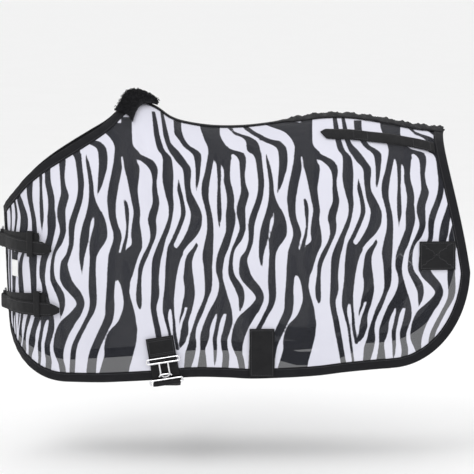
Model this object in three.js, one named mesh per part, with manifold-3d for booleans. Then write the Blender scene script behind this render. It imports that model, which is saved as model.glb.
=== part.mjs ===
// Fly sheet for a small horse, in its worn shape, in millimetres.
// +X runs toward the tail, +Y toward the off side, +Z is up.
// The origin sits on the spine seam at the withers.
import * as THREE from "three";
import { mergeVertices } from "three/addons/utils/BufferGeometryUtils.js";
import Module from "manifold-3d";

const wasm = await Module();
wasm.setup();
const { Manifold, Mesh } = wasm;

const V = (x, y, z) => new THREE.Vector3(x, y, z);
const lerp = (a, b, t) => a + (b - a) * t;
const group = new THREE.Group();

const LOOKS = {
  mesh: { color: 0xdedde6, roughness: 0.85, metalness: 0 },
  binding: { color: 0x17171b, roughness: 0.8, metalness: 0 },
  webbing: { color: 0x1c1c20, roughness: 0.75, metalness: 0 },
  fleece: { color: 0x101013, roughness: 1, metalness: 0 },
  metal: { color: 0xc9cbcf, roughness: 0.25, metalness: 1 },
  plastic: { color: 0x0e0e10, roughness: 0.45, metalness: 0 },
  label: { color: 0xf1f1f0, roughness: 0.8, metalness: 0 },
};

function add(name, geometry, look) {
  const material = new THREE.MeshStandardMaterial(LOOKS[look]);
  const mesh = new THREE.Mesh(geometry, material);
  mesh.name = name;
  group.add(mesh);
}

// ---------- closed meshes from grids and sweeps ----------

function toGeometry(points, faces) {
  const geometry = new THREE.BufferGeometry();
  const flat = points.flatMap((p) => [p.x, p.y, p.z]);
  geometry.setAttribute("position", new THREE.Float32BufferAttribute(flat, 3));
  geometry.setIndex(faces);
  let volume = 0;
  for (let i = 0; i < faces.length; i += 3) {
    const [a, b, c] = [points[faces[i]], points[faces[i + 1]], points[faces[i + 2]]];
    volume += a.dot(b.clone().cross(c));
  }
  if (volume < 0) {
    const turned = [];
    for (let i = 0; i < faces.length; i += 3) turned.push(faces[i], faces[i + 2], faces[i + 1]);
    geometry.setIndex(turned);
  }
  geometry.computeVertexNormals();
  return geometry;
}

// A rectangular tube of sections: each section is a closed ring of points.
function sweep(sections, closed = false) {
  const points = sections.flat();
  const m = sections[0].length;
  const n = sections.length;
  const faces = [];
  const last = closed ? n : n - 1;
  for (let i = 0; i < last; i++) {
    const a = i * m;
    const b = ((i + 1) % n) * m;
    for (let j = 0; j < m; j++) {
      const k = (j + 1) % m;
      faces.push(a + j, b + j, b + k, a + j, b + k, a + k);
    }
  }
  if (!closed) {
    for (let j = 1; j < m - 1; j++) {
      faces.push(0, j, j + 1);
      const e = (n - 1) * m;
      faces.push(e, e + j + 1, e + j);
    }
  }
  return toGeometry(points, faces);
}

// A thick patch: at(a, b, k) gives the point on the inner (k=0) or outer (k=1) face.
function slab(at, na, nb) {
  const points = [];
  const id = (i, j, k) => (k * (na + 1) + i) * (nb + 1) + j;
  for (let k = 0; k < 2; k++) {
    for (let i = 0; i <= na; i++) {
      for (let j = 0; j <= nb; j++) points.push(at(i / na, j / nb, k));
    }
  }
  const faces = [];
  const quad = (a, b, c, d) => faces.push(a, b, c, a, c, d);
  for (let i = 0; i < na; i++) {
    for (let j = 0; j < nb; j++) {
      quad(id(i, j, 1), id(i + 1, j, 1), id(i + 1, j + 1, 1), id(i, j + 1, 1));
      quad(id(i, j, 0), id(i, j + 1, 0), id(i + 1, j + 1, 0), id(i + 1, j, 0));
    }
    quad(id(i, 0, 0), id(i + 1, 0, 0), id(i + 1, 0, 1), id(i, 0, 1));
    quad(id(i, nb, 1), id(i + 1, nb, 1), id(i + 1, nb, 0), id(i, nb, 0));
  }
  for (let j = 0; j < nb; j++) {
    quad(id(0, j, 0), id(0, j, 1), id(0, j + 1, 1), id(0, j + 1, 0));
    quad(id(na, j, 1), id(na, j, 0), id(na, j + 1, 0), id(na, j + 1, 1));
  }
  return toGeometry(points, faces);
}

// Flat webbing along a path. acrossAt gives its width direction at each point.
function ribbon(path, acrossAt, width, thick) {
  const sections = path.map((p, i) => {
    const ahead = path[Math.min(i + 1, path.length - 1)];
    const behind = path[Math.max(i - 1, 0)];
    const along = ahead.clone().sub(behind).normalize();
    const across = acrossAt(i).clone();
    across.addScaledVector(along, -across.dot(along)).normalize();
    const out = along.clone().cross(across);
    const w = (typeof width === "function" ? width(i) : width) / 2;
    const corner = (s, t) => p.clone().addScaledVector(across, s * w).addScaledVector(out, t);
    return [corner(-1, -thick / 2), corner(1, -thick / 2), corner(1, thick / 2), corner(-1, thick / 2)];
  });
  return sweep(sections);
}

// A round bar along a path that lies in a plane with the given normal.
function bar(path, planeNormal, r, closed = false, sides = 8) {
  const n = path.length;
  const sections = path.map((p, i) => {
    const ahead = closed ? path[(i + 1) % n] : path[Math.min(i + 1, n - 1)];
    const behind = closed ? path[(i + n - 1) % n] : path[Math.max(i - 1, 0)];
    const along = ahead.clone().sub(behind).normalize();
    const side = along.clone().cross(planeNormal).normalize();
    const up = side.clone().cross(along).normalize();
    return Array.from({ length: sides }, (_, k) => {
      const angle = (2 * Math.PI * k) / sides;
      return p.clone().addScaledVector(side, r * Math.cos(angle)).addScaledVector(up, r * Math.sin(angle));
    });
  });
  return sweep(sections, closed);
}

// Rounded rectangle in local x, y, centred on the given point.
function roundedLoop(w, h, r, cx = 0, cy = 0, steps = 3) {
  const path = [];
  const corners = [[1, 1, 0], [-1, 1, 90], [-1, -1, 180], [1, -1, 270]];
  for (const [sx, sy, start] of corners) {
    for (let i = 0; i <= steps; i++) {
      const a = ((start + (90 * i) / steps) * Math.PI) / 180;
      path.push(V(cx + sx * (w / 2 - r) + r * Math.cos(a), cy + sy * (h / 2 - r) + r * Math.sin(a), 0));
    }
  }
  return path;
}

// ---------- joining and cutting ----------

function solid(geometry) {
  const bare = new THREE.BufferGeometry();
  bare.setAttribute("position", geometry.getAttribute("position").clone());
  if (geometry.index) bare.setIndex(geometry.index.clone());
  const welded = mergeVertices(bare, 1e-4);
  return new Manifold(new Mesh({
    numProp: 3,
    vertProperties: new Float32Array(welded.getAttribute("position").array),
    triVerts: new Uint32Array(welded.index.array),
  }));
}

function fromSolid(body) {
  const mesh = body.getMesh();
  const geometry = new THREE.BufferGeometry();
  const flat = new Float32Array(mesh.numVert * 3);
  for (let i = 0; i < mesh.numVert; i++) {
    for (let k = 0; k < 3; k++) flat[i * 3 + k] = mesh.vertProperties[i * mesh.numProp + k];
  }
  geometry.setAttribute("position", new THREE.Float32BufferAttribute(flat, 3));
  geometry.setIndex(Array.from(mesh.triVerts));
  geometry.computeVertexNormals();
  return geometry;
}

function shape(plus, minus = []) {
  let body = solid(plus[0]);
  for (const g of plus.slice(1)) body = body.add(solid(g));
  for (const g of minus) body = body.subtract(solid(g));
  return fromSolid(body);
}

function box(w, d, h, x = 0, y = 0, z = 0) {
  return new THREE.BoxGeometry(w, d, h).translate(x, y, z);
}

// A cylinder along local x, y or z.
function rod(r, length, axis, x = 0, y = 0, z = 0, sides = 16) {
  const g = new THREE.CylinderGeometry(r, r, length, sides);
  if (axis === "x") g.rotateZ(Math.PI / 2);
  if (axis === "z") g.rotateX(Math.PI / 2);
  return g.translate(x, y, z);
}

// ---------- the body the sheet lies on ----------
// One row per station from the chest edge to the tail edge.
const TOP = [
  [-237, -5, -201], [-228, -33, -187], [-212, -60, -168], [-188, -84, -140],
  [-158, -101, -115], [-122, -111, -91], [-86, -108, -69], [-52, -90, -48],
  [-25, -58, -24], [-4, -16, -4], [15, -0.5, -8], [44, -0.5, -21], [70, -0.5, -39],
  [100, -0.5, -49], [150, -0.5, -56], [205, -0.5, -56], [260, -0.5, -50],
  [310, -0.5, -41], [355, -0.5, -35], [400, -0.5, -35], [440, -0.5, -40],
  [475, -0.5, -46], [505, -0.5, -52], [530, -0.5, -56], [550, -0.5, -58],
  [566, -0.5, -60], [580, -0.5, -62],
];
const HEM = [
  [-222, -8, -512], [-215, -38, -512], [-201, -70, -512], [-180, -98, -512],
  [-150, -119, -512], [-105, -136, -511], [-50, -148, -510], [5, -154, -507],
  [48, -158, -504], [78, -160, -501], [100, -161, -499], [122, -162, -498],
  [150, -163, -498], [180, -163, -499], [220, -163, -501], [262, -163, -500],
  [305, -163, -498], [345, -163, -495], [385, -162, -490], [425, -161, -486],
  [462, -160, -483], [498, -158, -482], [530, -156, -482], [560, -154, -483],
  [585, -152, -484], [605, -150, -485], [622, -148, -486],
];
// How the surface leaves the top edge and arrives at the hem, at some stations.
const LEAVE = [
  [0, 4, 0, -69], [3, -6, -25, -110], [5, 0, -35, -120], [8, 0, -75, -38],
  [10, 0, -125, -4], [15, 5, -155, -4], [20, 0, -150, -2], [24, -18, -148, -2],
  [26, -35, -150, 0],
];
const ARRIVE = [
  [0, -9, 4, 110], [3, -8, -25, 130], [5, -5, -34, 141], [8, -30, -22, 250],
  [10, -30, -22, 288], [15, -22, -19, 245], [20, -7, -18, 235], [24, 12, -16, 200],
  [26, 23, -12, 186],
];
const STATIONS = TOP.length - 1;

function catmull(p0, p1, p2, p3, t) {
  const a = 2 * p1;
  const b = p2 - p0;
  const c = 2 * p0 - 5 * p1 + 4 * p2 - p3;
  const d = -p0 + 3 * p1 - 3 * p2 + p3;
  return 0.5 * (a + b * t + c * t * t + d * t * t * t);
}

function alongRows(rows, x) {
  const last = rows.length - 1;
  const i = Math.min(Math.max(Math.floor(x), 0), last - 1);
  const row = (k) => {
    if (k < 0) return rows[0].map((q, c) => 2 * q - rows[1][c]);
    if (k > last) return rows[last].map((q, c) => 2 * q - rows[last - 1][c]);
    return rows[k];
  };
  const [a, b, c, d] = [row(i - 1), row(i), row(i + 1), row(i + 2)];
  return [0, 1, 2].map((k) => catmull(a[k], b[k], c[k], d[k], x - i));
}

function alongKeys(keys, x) {
  let i = 0;
  while (i < keys.length - 2 && x > keys[i + 1][0]) i++;
  const t = (x - keys[i][0]) / (keys[i + 1][0] - keys[i][0]);
  const s = t * t * (3 - 2 * t);
  const soft = 0.5 * t + 0.5 * s;
  return [1, 2, 3].map((k) => lerp(keys[i][k], keys[i + 1][k], soft));
}

// u runs from the chest edge (0) to the tail edge (1), v from the top (0) to the hem (1).
function surf(u, v) {
  const x = u * STATIONS;
  const p0 = alongRows(TOP, x);
  p0[1] = Math.min(p0[1], -0.5);
  const p3 = alongRows(HEM, x);
  const d0 = alongKeys(LEAVE, x);
  const d3 = alongKeys(ARRIVE, x);
  const w = 1 - v;
  const mix = (k) => w * w * w * p0[k] + 3 * w * w * v * (p0[k] + d0[k])
    + 3 * w * v * v * (p3[k] + d3[k]) + v * v * v * p3[k];
  return V(mix(0), mix(1), mix(2));
}

const GAP = 0.3; // air between neighbouring pieces
const STEP = 0.002;
function slopes(u, v) {
  const ua = Math.max(u - STEP, 0);
  const ub = Math.min(u + STEP, 1);
  const va = Math.max(v - STEP, 0);
  const vb = Math.min(v + STEP, 1);
  const su = surf(ub, v).sub(surf(ua, v)).divideScalar(ub - ua);
  const sv = surf(u, vb).sub(surf(u, va)).divideScalar(vb - va);
  return [su, sv];
}

function normalAt(u, v) {
  const [su, sv] = slopes(u, v);
  return sv.cross(su).normalize();
}

function skin(u, v, off) {
  const p = surf(u, v).addScaledVector(normalAt(u, v), off);
  p.y = Math.min(p.y, -GAP);
  return p;
}

const flip = (p) => V(p.x, -p.y, p.z);
const SIDES = [["near", (p) => p], ["far", flip]];

// The v at which the surface reaches height z, for one u.
function vAt(u, z) {
  let lo = 0;
  let hi = 1;
  for (let i = 0; i < 26; i++) {
    const mid = (lo + hi) / 2;
    if (surf(u, mid).z > z) lo = mid;
    else hi = mid;
  }
  return (lo + hi) / 2;
}

// The place on the near side seen at (x, z) from the side.
function sideUV(x, z) {
  let lo = 0;
  let hi = 1;
  for (let i = 0; i < 24; i++) {
    const mid = (lo + hi) / 2;
    if (surf(mid, vAt(mid, z)).x < x) lo = mid;
    else hi = mid;
  }
  const u = (lo + hi) / 2;
  return [u, vAt(u, z)];
}

function onSide(x, z, off) {
  const [u, v] = sideUV(x, z);
  return skin(u, v, off);
}

// ---------- outline of one side, as curves on the surface ----------
const BIND = 18; // width of the edge binding
const WITHERS_U = 9.6 / STATIONS; // where the neckline meets the spine
const FRONT_CORNER = { x: -120, z: -400, rx: 108, rz: 111 };
const REAR_CORNER = { x: 470, z: -300, rx: 146, rz: 182 };

function cornerArc(c, toward, from, to, steps) {
  return Array.from({ length: steps + 1 }, (_, i) => {
    const a = (lerp(from, to, i / steps) * Math.PI) / 180;
    return sideUV(c.x + toward * c.rx * Math.cos(a), c.z - c.rz * Math.sin(a));
  });
}

const line = (a, b, steps) => Array.from({ length: steps + 1 }, (_, i) => [
  lerp(a[0], b[0], i / steps), lerp(a[1], b[1], i / steps)]);

const frontArc = cornerArc(FRONT_CORNER, -1, 0, 90, 24);
const rearArc = cornerArc(REAR_CORNER, 1, 0, 90, 24);
frontArc[0][0] = 0;
rearArc[0][0] = 1;
frontArc[24][1] = 1;
rearArc[24][1] = 1;

const EDGES = {
  neck: line([0, 0], [WITHERS_U, 0], 60),
  front: [...line([0, 0], frontArc[0], 30), ...frontArc.slice(1, 13)],
  hem: [
    ...frontArc.slice(12), ...line(frontArc[24], rearArc[24], 90).slice(1, -1),
    ...rearArc.slice(12).reverse(),
  ],
  tail: [...line([1, 0], rearArc[0], 40), ...rearArc.slice(1, 13)],
};

// Moves a place on the surface to the nearest place to a point in space.
function settle(point, u, v) {
  for (let i = 0; i < 8; i++) {
    const [su, sv] = slopes(u, v);
    const r = point.clone().sub(surf(u, v));
    const [a, b, c] = [su.dot(su), su.dot(sv), sv.dot(sv)];
    const [p, q] = [su.dot(r), sv.dot(r)];
    const det = a * c - b * b;
    u = Math.min(Math.max(u + (p * c - q * b) / det, 0), 1);
    v = Math.min(Math.max(v + (q * a - p * b) / det, 0), 1);
  }
  return [u, v];
}

function inset(curve, width, turn) {
  return curve.map(([u, v], i) => {
    const a = curve[Math.max(i - 1, 0)];
    const b = curve[Math.min(i + 1, curve.length - 1)];
    const along = surf(b[0], b[1]).sub(surf(a[0], a[1])).normalize();
    const inward = normalAt(u, v).cross(along).multiplyScalar(turn);
    return settle(surf(u, v).addScaledVector(inward, width), u, v);
  });
}

// Evenly spaced copy of a curve with some length taken off each end.
function resample(curve, count, offStart = 0, offEnd = 0) {
  const at = curve.map(([u, v]) => surf(u, v));
  const sum = [0];
  for (let i = 1; i < at.length; i++) sum.push(sum[i - 1] + at[i].distanceTo(at[i - 1]));
  const total = sum[sum.length - 1];
  return Array.from({ length: count + 1 }, (_, k) => {
    const d = lerp(offStart, total - offEnd, k / count);
    let i = 0;
    while (i < sum.length - 2 && sum[i + 1] < d) i++;
    const t = (d - sum[i]) / (sum[i + 1] - sum[i] || 1);
    return [lerp(curve[i][0], curve[i + 1][0], t), lerp(curve[i][1], curve[i + 1][1], t)];
  });
}

// Cuts two curves back to the place where they come closest.
function meet(a, b) {
  let best = [Infinity, 0, 0];
  a.forEach((p, i) => b.forEach((q, j) => {
    const d = surf(p[0], p[1]).distanceTo(surf(q[0], q[1]));
    if (d < best[0]) best = [d, i, j];
  }));
  return [a.slice(best[1]), b.slice(best[2])];
}

function insets(width) {
  const dense = (name) => resample(EDGES[name], 240);
  const neck = inset(dense("neck"), width, -1);
  const front = inset(dense("front"), width, 1);
  const [neckCut, frontCut] = meet(neck, front);
  return {
    neck: neckCut,
    front: frontCut,
    hem: inset(dense("hem"), width, 1),
    tail: inset(dense("tail"), width, -1),
  };
}

const INNER = insets(BIND);
const PANEL = insets(BIND + 2.5 * GAP);
for (const set of [INNER, PANEL]) {
  // The hem and its neighbours meet on one point of the rounded corners.
  set.hem[0] = set.front[set.front.length - 1];
  set.hem[set.hem.length - 1] = set.tail[set.tail.length - 1];
  // The neck and tail edges run up to the spine seam.
  set.neck[set.neck.length - 1][1] = 0;
  set.tail[0][1] = 0;
}

const PANEL_THICK = 2.5;
const PANEL_COLUMNS = 42;
const PANEL_ROWS = 17;
const NECK_COLUMNS = 13;

const neckEnd = PANEL.neck[PANEL.neck.length - 1];
const spineLine = resample(line(neckEnd, [PANEL.tail[0][0], 0], 60), PANEL_COLUMNS - NECK_COLUMNS);

function panelUV() {
  const top = [...resample(PANEL.neck, NECK_COLUMNS), ...spineLine.slice(1)];
  const bottom = resample(PANEL.hem, PANEL_COLUMNS);
  const left = resample(PANEL.front, PANEL_ROWS);
  const right = resample(PANEL.tail, PANEL_ROWS);
  const [c00, c10] = [left[0], right[0]];
  const [c01, c11] = [left[PANEL_ROWS], right[PANEL_ROWS]];
  return (a, b) => {
    const i = Math.round(a * PANEL_COLUMNS);
    const j = Math.round(b * PANEL_ROWS);
    return [0, 1].map((k) => (1 - b) * top[i][k] + b * bottom[i][k] + (1 - a) * left[j][k] + a * right[j][k]
      - (1 - a) * (1 - b) * c00[k] - a * (1 - b) * c10[k] - (1 - a) * b * c01[k] - a * b * c11[k]);
  };
}

const panelAt = panelUV();
for (const [side, to] of SIDES) {
  add(`${side}_panel`, slab((a, b, k) => {
    const [u, v] = panelAt(a, b);
    return to(skin(u, v, k * PANEL_THICK));
  }, PANEL_COLUMNS, PANEL_ROWS), "mesh");
}

// ---------- edge bindings ----------
const BIND_IN = -0.9;
const BIND_OUT = 3.4;
// Each has the same number of steps as the panel edge beside it.
const BINDINGS = [
  ["neck", NECK_COLUMNS, GAP, 1.2], ["front", PANEL_ROWS, GAP, GAP],
  ["hem", PANEL_COLUMNS, GAP, GAP], ["tail", PANEL_ROWS, 0.5, GAP],
];
for (const [name, count, offStart, offEnd] of BINDINGS) {
  const outer = resample(EDGES[name], count, offStart, offEnd);
  const inner = resample(INNER[name], count, offStart, offEnd);
  for (const [side, to] of SIDES) {
    add(`${side}_${name}_binding`, slab((a, b, k) => {
      const i = Math.round(a * count);
      const u = lerp(outer[i][0], inner[i][0], b);
      const v = lerp(outer[i][1], inner[i][1], b);
      return to(skin(u, v, k ? BIND_OUT : BIND_IN));
    }, count, 1), "binding");
  }
}

// ---------- spine tape and withers pad ----------
// The tape shares the panels' steps along the spine and starts under the pad.
const tapeU = spineLine.slice(1, -1).map(([u]) => u);
tapeU[0] -= 0.006;
tapeU.push(spineLine[spineLine.length - 1][0] - 0.0006);
add("spine_tape", slab((a, b, k) => {
  const u = tapeU[Math.round(a * (tapeU.length - 1))];
  const s = 2 * b - 1;
  const v = (Math.abs(s) * 15) / slopes(u, 0)[1].length();
  const p = skin(u, v, k ? 4.9 : 2.9);
  if (Math.abs(s) < 0.01) p.y = 0;
  return s > 0 ? flip(p) : p;
}, tapeU.length - 1, 4), "binding");

// Quilted pad over the withers, narrower down each side.
const padBottom = sideUV(6, -46);
const padCorners = [[9.55, 0], [11, 0], [7.85, 0]].map(([s, v]) => [s / STATIONS, v]);
add("withers_fleece", slab((a, b, k) => {
  const s = 2 * b - 1;
  const t = Math.abs(s);
  const [d, c, e] = padCorners;
  const at = [0, 1].map((i) => lerp(lerp(d[i], c[i], a), lerp(e[i], padBottom[i], a), t));
  const round = Math.sqrt(1 - (2 * a - 1) ** 6) * Math.sqrt(1 - t ** 6);
  const p = skin(at[0], at[1], k ? 9.6 + 8.4 * round : 8);
  if (t < 0.01) p.y = 0;
  return s > 0 ? flip(p) : p;
}, 12, 20), "fleece");

// ---------- sewn patches ----------
// A patch that follows the near side between two heights and two distances.
function sidePatch(x0, x1, z0, z1, off0, off1) {
  return (a, b, k) => onSide(lerp(x0, x1, a), lerp(z0, z1, b), k ? off1 : off0);
}
for (const [side, to] of SIDES) {
  const rear = sidePatch(523, 588, -304, -253, 2.9, 4.9);
  add(`${side}_rear_patch`, slab((a, b, k) => to(rear(a, b, k)), 4, 3), "webbing");
  const leg = sidePatch(217, 262, -497, -409, 3.8, 5.8);
  add(`${side}_leg_patch`, slab((a, b, k) => to(leg(a, b, k)), 3, 4), "webbing");
}
add("care_label", slab(sidePatch(-216, -203, -324, -294, 2.9, 3.7), 2, 2), "label");

// ---------- chest closure ----------
// Plan positions at the chest: p is +Y and q is the distance ahead of the chest edge.
const WIRE = 1.6;
const HEEL = { p: -11, q: 7.6 };
const FRAME_W = 22;
const FRAME_H = 36;
const WEB = 25;
const LOOP_OUT = 4.05;
const LOOP_IN = WIRE + 0.3;
const SLANT = Math.atan(0.2); // turn of the near side away from square at the chest edge

// Column of a strap on the near side, at one u; far columns are its mirror image.
const nearColumn = (u) => (z, off) => skin(u, vAt(u, z), off);
const farColumn = (u) => (z, off) => flip(skin(u, vAt(u, z), off));

// The u at which the near side reaches a distance x from the origin, at one height.
const uAt = (x, z) => sideUV(x, z)[0];

function strapSlab(columns, rows) {
  return slab((a, b, k) => {
    const c = columns[Math.round(a * (columns.length - 1))];
    return c.at(c.z + (b - 0.5) * c.w, k ? c.out : c.in);
  }, columns.length - 1, rows);
}

function chestClosure(name, o) {
  const edge = surf(0, vAt(0, o.frameZ));
  const ahead = (p, q, z) => V(edge.x - q, p, z);
  const heel = ahead(HEEL.p, HEEL.q, o.frameZ);

  // Knuckles of the tab, in a frame turned with the near side.
  const along = V(Math.sin(SLANT), -Math.cos(SLANT), 0);
  const outward = V(-Math.cos(SLANT), -Math.sin(SLANT), 0);
  const turned = new THREE.Matrix4().makeBasis(along, outward, V(0, 0, -1)).setPosition(heel);
  const local = (g) => g.applyMatrix4(turned);
  const tabLow = o.tabZ - o.frameZ - WEB / 2;
  const tabHigh = tabLow + WEB;
  const knuckles = [[tabLow, -2.9], [2.9, tabHigh]].flatMap(([a, b]) => [
    local(rod(LOOP_OUT, b - a, "z", 0, 0, -(a + b) / 2, 20)),
    local(box(10.5, 3.4, b - a, 5.25, -LOOP_OUT + 1.7, -(a + b) / 2)),
  ]);
  const tabStart = uAt(edge.x + 2.5, o.frameZ);
  const tabStop = uAt(o.tabX, o.tabEndZ);
  const tabColumns = Array.from({ length: 11 }, (_, i) => {
    const t = i / 10;
    const u = lerp(tabStart, tabStop, t);
    return { at: nearColumn(u), z: lerp(o.tabZ, o.tabEndZ, t), w: WEB, in: 4.1, out: 7.6 };
  });
  const bore = local(rod(LOOP_IN, 60, "z", 0, 0, 0, 20));
  add(`${name}_buckle_tab`, shape([strapSlab(tabColumns, 2), ...knuckles], [bore]), "webbing");

  // Frame: a rectangular wire loop that faces forward.
  const loop = roundedLoop(FRAME_W, FRAME_H, 2.2).map((c) => ahead(c.x, HEEL.q, o.frameZ + c.y));
  add(`${name}_buckle_frame`, bar(loop, V(1, 0, 0), WIRE, true, 10), "metal");

  // Prong: a ring on the heel bar and an arm that rests on the far bar.
  const tip = ahead(FRAME_W / 2 + 1.8, HEEL.q + WIRE + 0.15 + 1.2, o.frameZ);
  const root = ahead(HEEL.p + 1.5, HEEL.q + 2.1, o.frameZ);
  const arm = bar([root, tip], V(0, 0, 1), 1.2);
  const at = (r, h) => rod(r, h, "z", heel.x, heel.y, heel.z, 20);
  add(`${name}_buckle_prong`, shape([at(3.2, 4.4), arm], [at(WIRE + 0.2, 10)]), "metal");

  // Billet: sewn on the far side, through the frame, over the heel and back along the near side.
  const free = [
    [11, 4.6], [8, 5.0], [5, 6.3], [1.7, 8.1], [-1.7, 9.9], [-5, 11.8], [-8, 13.1], [-11, 13.5],
    [-14, 13.3], [-19, 11.7], [-25, 9.2], [-32, 6.1], [-40, 2.4],
  ];
  const columns = [];
  const farStart = uAt(o.sewX, o.billetZ);
  const farStop = uAt(edge.x + 3.2, o.billetZ);
  for (let i = 0; i <= 8; i++) {
    const u = lerp(farStart, farStop, i / 8);
    columns.push({ at: farColumn(u), z: o.billetZ, w: WEB, in: 4.1, out: 6.1 });
  }
  free.forEach(([p, q], i) => {
    const before = free[Math.max(i - 1, 0)];
    const after = free[Math.min(i + 1, free.length - 1)];
    const [dp, dq] = [after[0] - before[0], after[1] - before[1]];
    const size = Math.hypot(dp, dq);
    const at = (z, off) => ahead(p + (off * dq) / size, q - (off * dp) / size, z);
    columns.push({ at, z: o.billetZ, w: WEB, in: -1, out: 1 });
  });
  const nearStart = uAt(edge.x + 10.5, o.billetZ);
  const nearStop = uAt(o.tipX, o.tipZ);
  for (let i = 0; i <= 12; i++) {
    const t = i / 12;
    const w = i === 12 ? 9 : i === 11 ? 22 : WEB;
    const at = nearColumn(lerp(nearStart, nearStop, t));
    columns.push({ at, z: lerp(o.billetZ, o.tipZ, t), w, in: 7.9, out: 9.9 });
  }
  const slotAlong = V(-0.475, -0.88, 0);
  const slotOut = V(-0.88, 0.475, 0);
  const slotAt = ahead(-1.6, 9.85, o.frameZ).addScaledVector(slotAlong, 1.2);
  const slotFrame = new THREE.Matrix4().makeBasis(slotAlong, slotOut, V(0, 0, -1)).setPosition(slotAt);
  const cuts = [box(12.6, 5, 4.2).applyMatrix4(slotFrame)];
  for (const [x, z] of o.holes) {
    const [u, v] = sideUV(x, z);
    const [a, b] = [skin(u, v, 7.6), skin(u, v, 10.2)];
    cuts.push(bar([a, b], V(0, 0, 1), 2, false, 12));
  }
  add(`${name}_billet`, shape([strapSlab(columns, 2)], cuts), "webbing");

  const sewn = Array.from({ length: 4 }, (_, i) => {
    const u = lerp(farStart, uAt(o.sewX - 38, o.billetZ), i / 3);
    return { at: farColumn(u), z: o.billetZ, w: 32, in: 6.4, out: 8.2 };
  });
  add(`${name}_billet_patch`, strapSlab(sewn, 2), "webbing");

  // Keeper: a webbing loop round the tab and the billet.
  const high = o.tabEndZ + WEB / 2 + 0.6;
  const low = o.tipZ - WEB / 2 - 0.8;
  const ring = (x0, x1, grow, off0, off1) => slab((a, b, k) => {
    const z = lerp(low - grow, high + grow, b);
    return nearColumn(uAt(lerp(x0, x1, a), -260))(z, k ? off1 : off0);
  }, 3, 3);
  const k0 = o.keeperX;
  const outer = ring(k0, k0 + 11, 1.6, 2.8, 11.4);
  const inner = ring(k0 - 4, k0 + 15, 0, 3.5, 10.2);
  add(`${name}_keeper`, shape([outer], [inner]), "webbing");
}

chestClosure("upper", {
  frameZ: -259, tabZ: -256.2, tabEndZ: -253, tabX: -162, billetZ: -261.8, tipX: -138, tipZ: -269,
  sewX: -150, keeperX: -181, holes: [[-196, -264.5], [-159, -267.5]],
});
chestClosure("lower", {
  frameZ: -374, tabZ: -371.2, tabEndZ: -360, tabX: -150, billetZ: -376.8, tipX: -124, tipZ: -377,
  sewX: -150, keeperX: -169, holes: [[-198, -377], [-182, -377], [-145, -377]],
});

// ---------- belly strap with its hook clasp ----------
const CLASP_TILT = (9.5 * Math.PI) / 180;
const claspUV = sideUV(62, -470);
const claspOut = normalAt(...claspUV);
const claspAlong = V(Math.cos(CLASP_TILT), 0, Math.sin(CLASP_TILT));
claspAlong.addScaledVector(claspOut, -claspAlong.dot(claspOut)).normalize();
const claspUp = claspOut.clone().cross(claspAlong);
const claspFrame = new THREE.Matrix4().makeBasis(claspAlong, claspUp, claspOut).setPosition(surf(...claspUV));
const clasp = (g) => g.applyMatrix4(claspFrame);
const claspPoint = (x, y, h) => V(x, y, h).applyMatrix4(claspFrame);
const claspSkin = (x, y, off) => {
  const p = claspPoint(x, y, 0);
  return onSide(p.x, p.z, off);
};
const RISE = 10; // height of the clasp wire over the cloth
const SLOT_Y = 8; // bar inside the tab
const HOOK_Y = -31; // upper bar of the hook half
const END_Y = -38; // bar inside the strap end
const CLASP_WIRE = 1.7;

const tabBase = slab((a, b, k) => claspSkin(lerp(-25, 25, a), lerp(-29, 46, b), k ? 5.1 : 3.8), 4, 8);
const tabFold = slab((a, b, k) => claspSkin(lerp(-25, 25, a), lerp(7.5, 46, b), k ? 7.6 : 4.6), 4, 4);
const tabRing = clasp(rod(4.1, 50, "x", 0, SLOT_Y, RISE, 20));
const tabBore = clasp(rod(2.1, 60, "x", 0, SLOT_Y, RISE, 20));
add("surcingle_tab", shape([tabBase, tabFold, tabRing], [tabBore]), "webbing");

function clipLoop(y0, y1) {
  const loop = roundedLoop(60, y1 - y0, 2.6, 0, (y0 + y1) / 2, 3).map((c) => V(c.x, c.y, RISE));
  return bar(loop, V(0, 0, 1), CLASP_WIRE, true, 10);
}
// The half on the tab: a wide slot for the webbing and a narrow U below it.
const uPath = [V(-8, 0, RISE)];
for (let i = 0; i <= 8; i++) {
  const a = Math.PI + (Math.PI * i) / 8;
  uPath.push(V(8 * Math.cos(a), -20 + 6.5 * Math.sin(a), RISE));
}
uPath.push(V(8, 0, RISE));
const uLoop = clasp(bar(uPath, V(0, 0, 1), 1.6, false, 10));
add("surcingle_loop_plate", shape([clasp(clipLoop(0, SLOT_Y)), uLoop]), "metal");

// The half on the strap: the same slot and a tongue that ends in a T.
const tongue = [
  V(0, HOOK_Y, RISE), V(0, -29.6, 7.6), V(0, -27.4, 6.4), V(0, -25, 6.7), V(0, -23, 8.6), V(0, -21.6, 12),
  V(0, -21, 13.6),
];
const tHead = [
  V(-11.5, -24, 13.1), V(-9.5, -21.8, 13.6), V(-5, -20.8, 13.8), V(5, -20.8, 13.8), V(9.5, -21.8, 13.6),
  V(11.5, -24, 13.1),
];
add("surcingle_t_hook", shape([
  clasp(clipLoop(END_Y, HOOK_Y)),
  clasp(bar(tongue, V(1, 0, 0), 1.4, false, 10)),
  clasp(bar(tHead, V(0, 0, 1), 1.5, false, 10)),
]), "metal");

const endRing = clasp(rod(4.0, 50, "x", 0, END_Y, RISE, 20));
const endBore = clasp(rod(2.0, 60, "x", 0, END_Y, RISE, 20));
const endTail = clasp(box(50, 3.4, RISE + 5, 0, END_Y - 2.3, (RISE - 5) / 2));
add("surcingle_strap_end", shape([endRing, endTail], [endBore]), "webbing");

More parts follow.
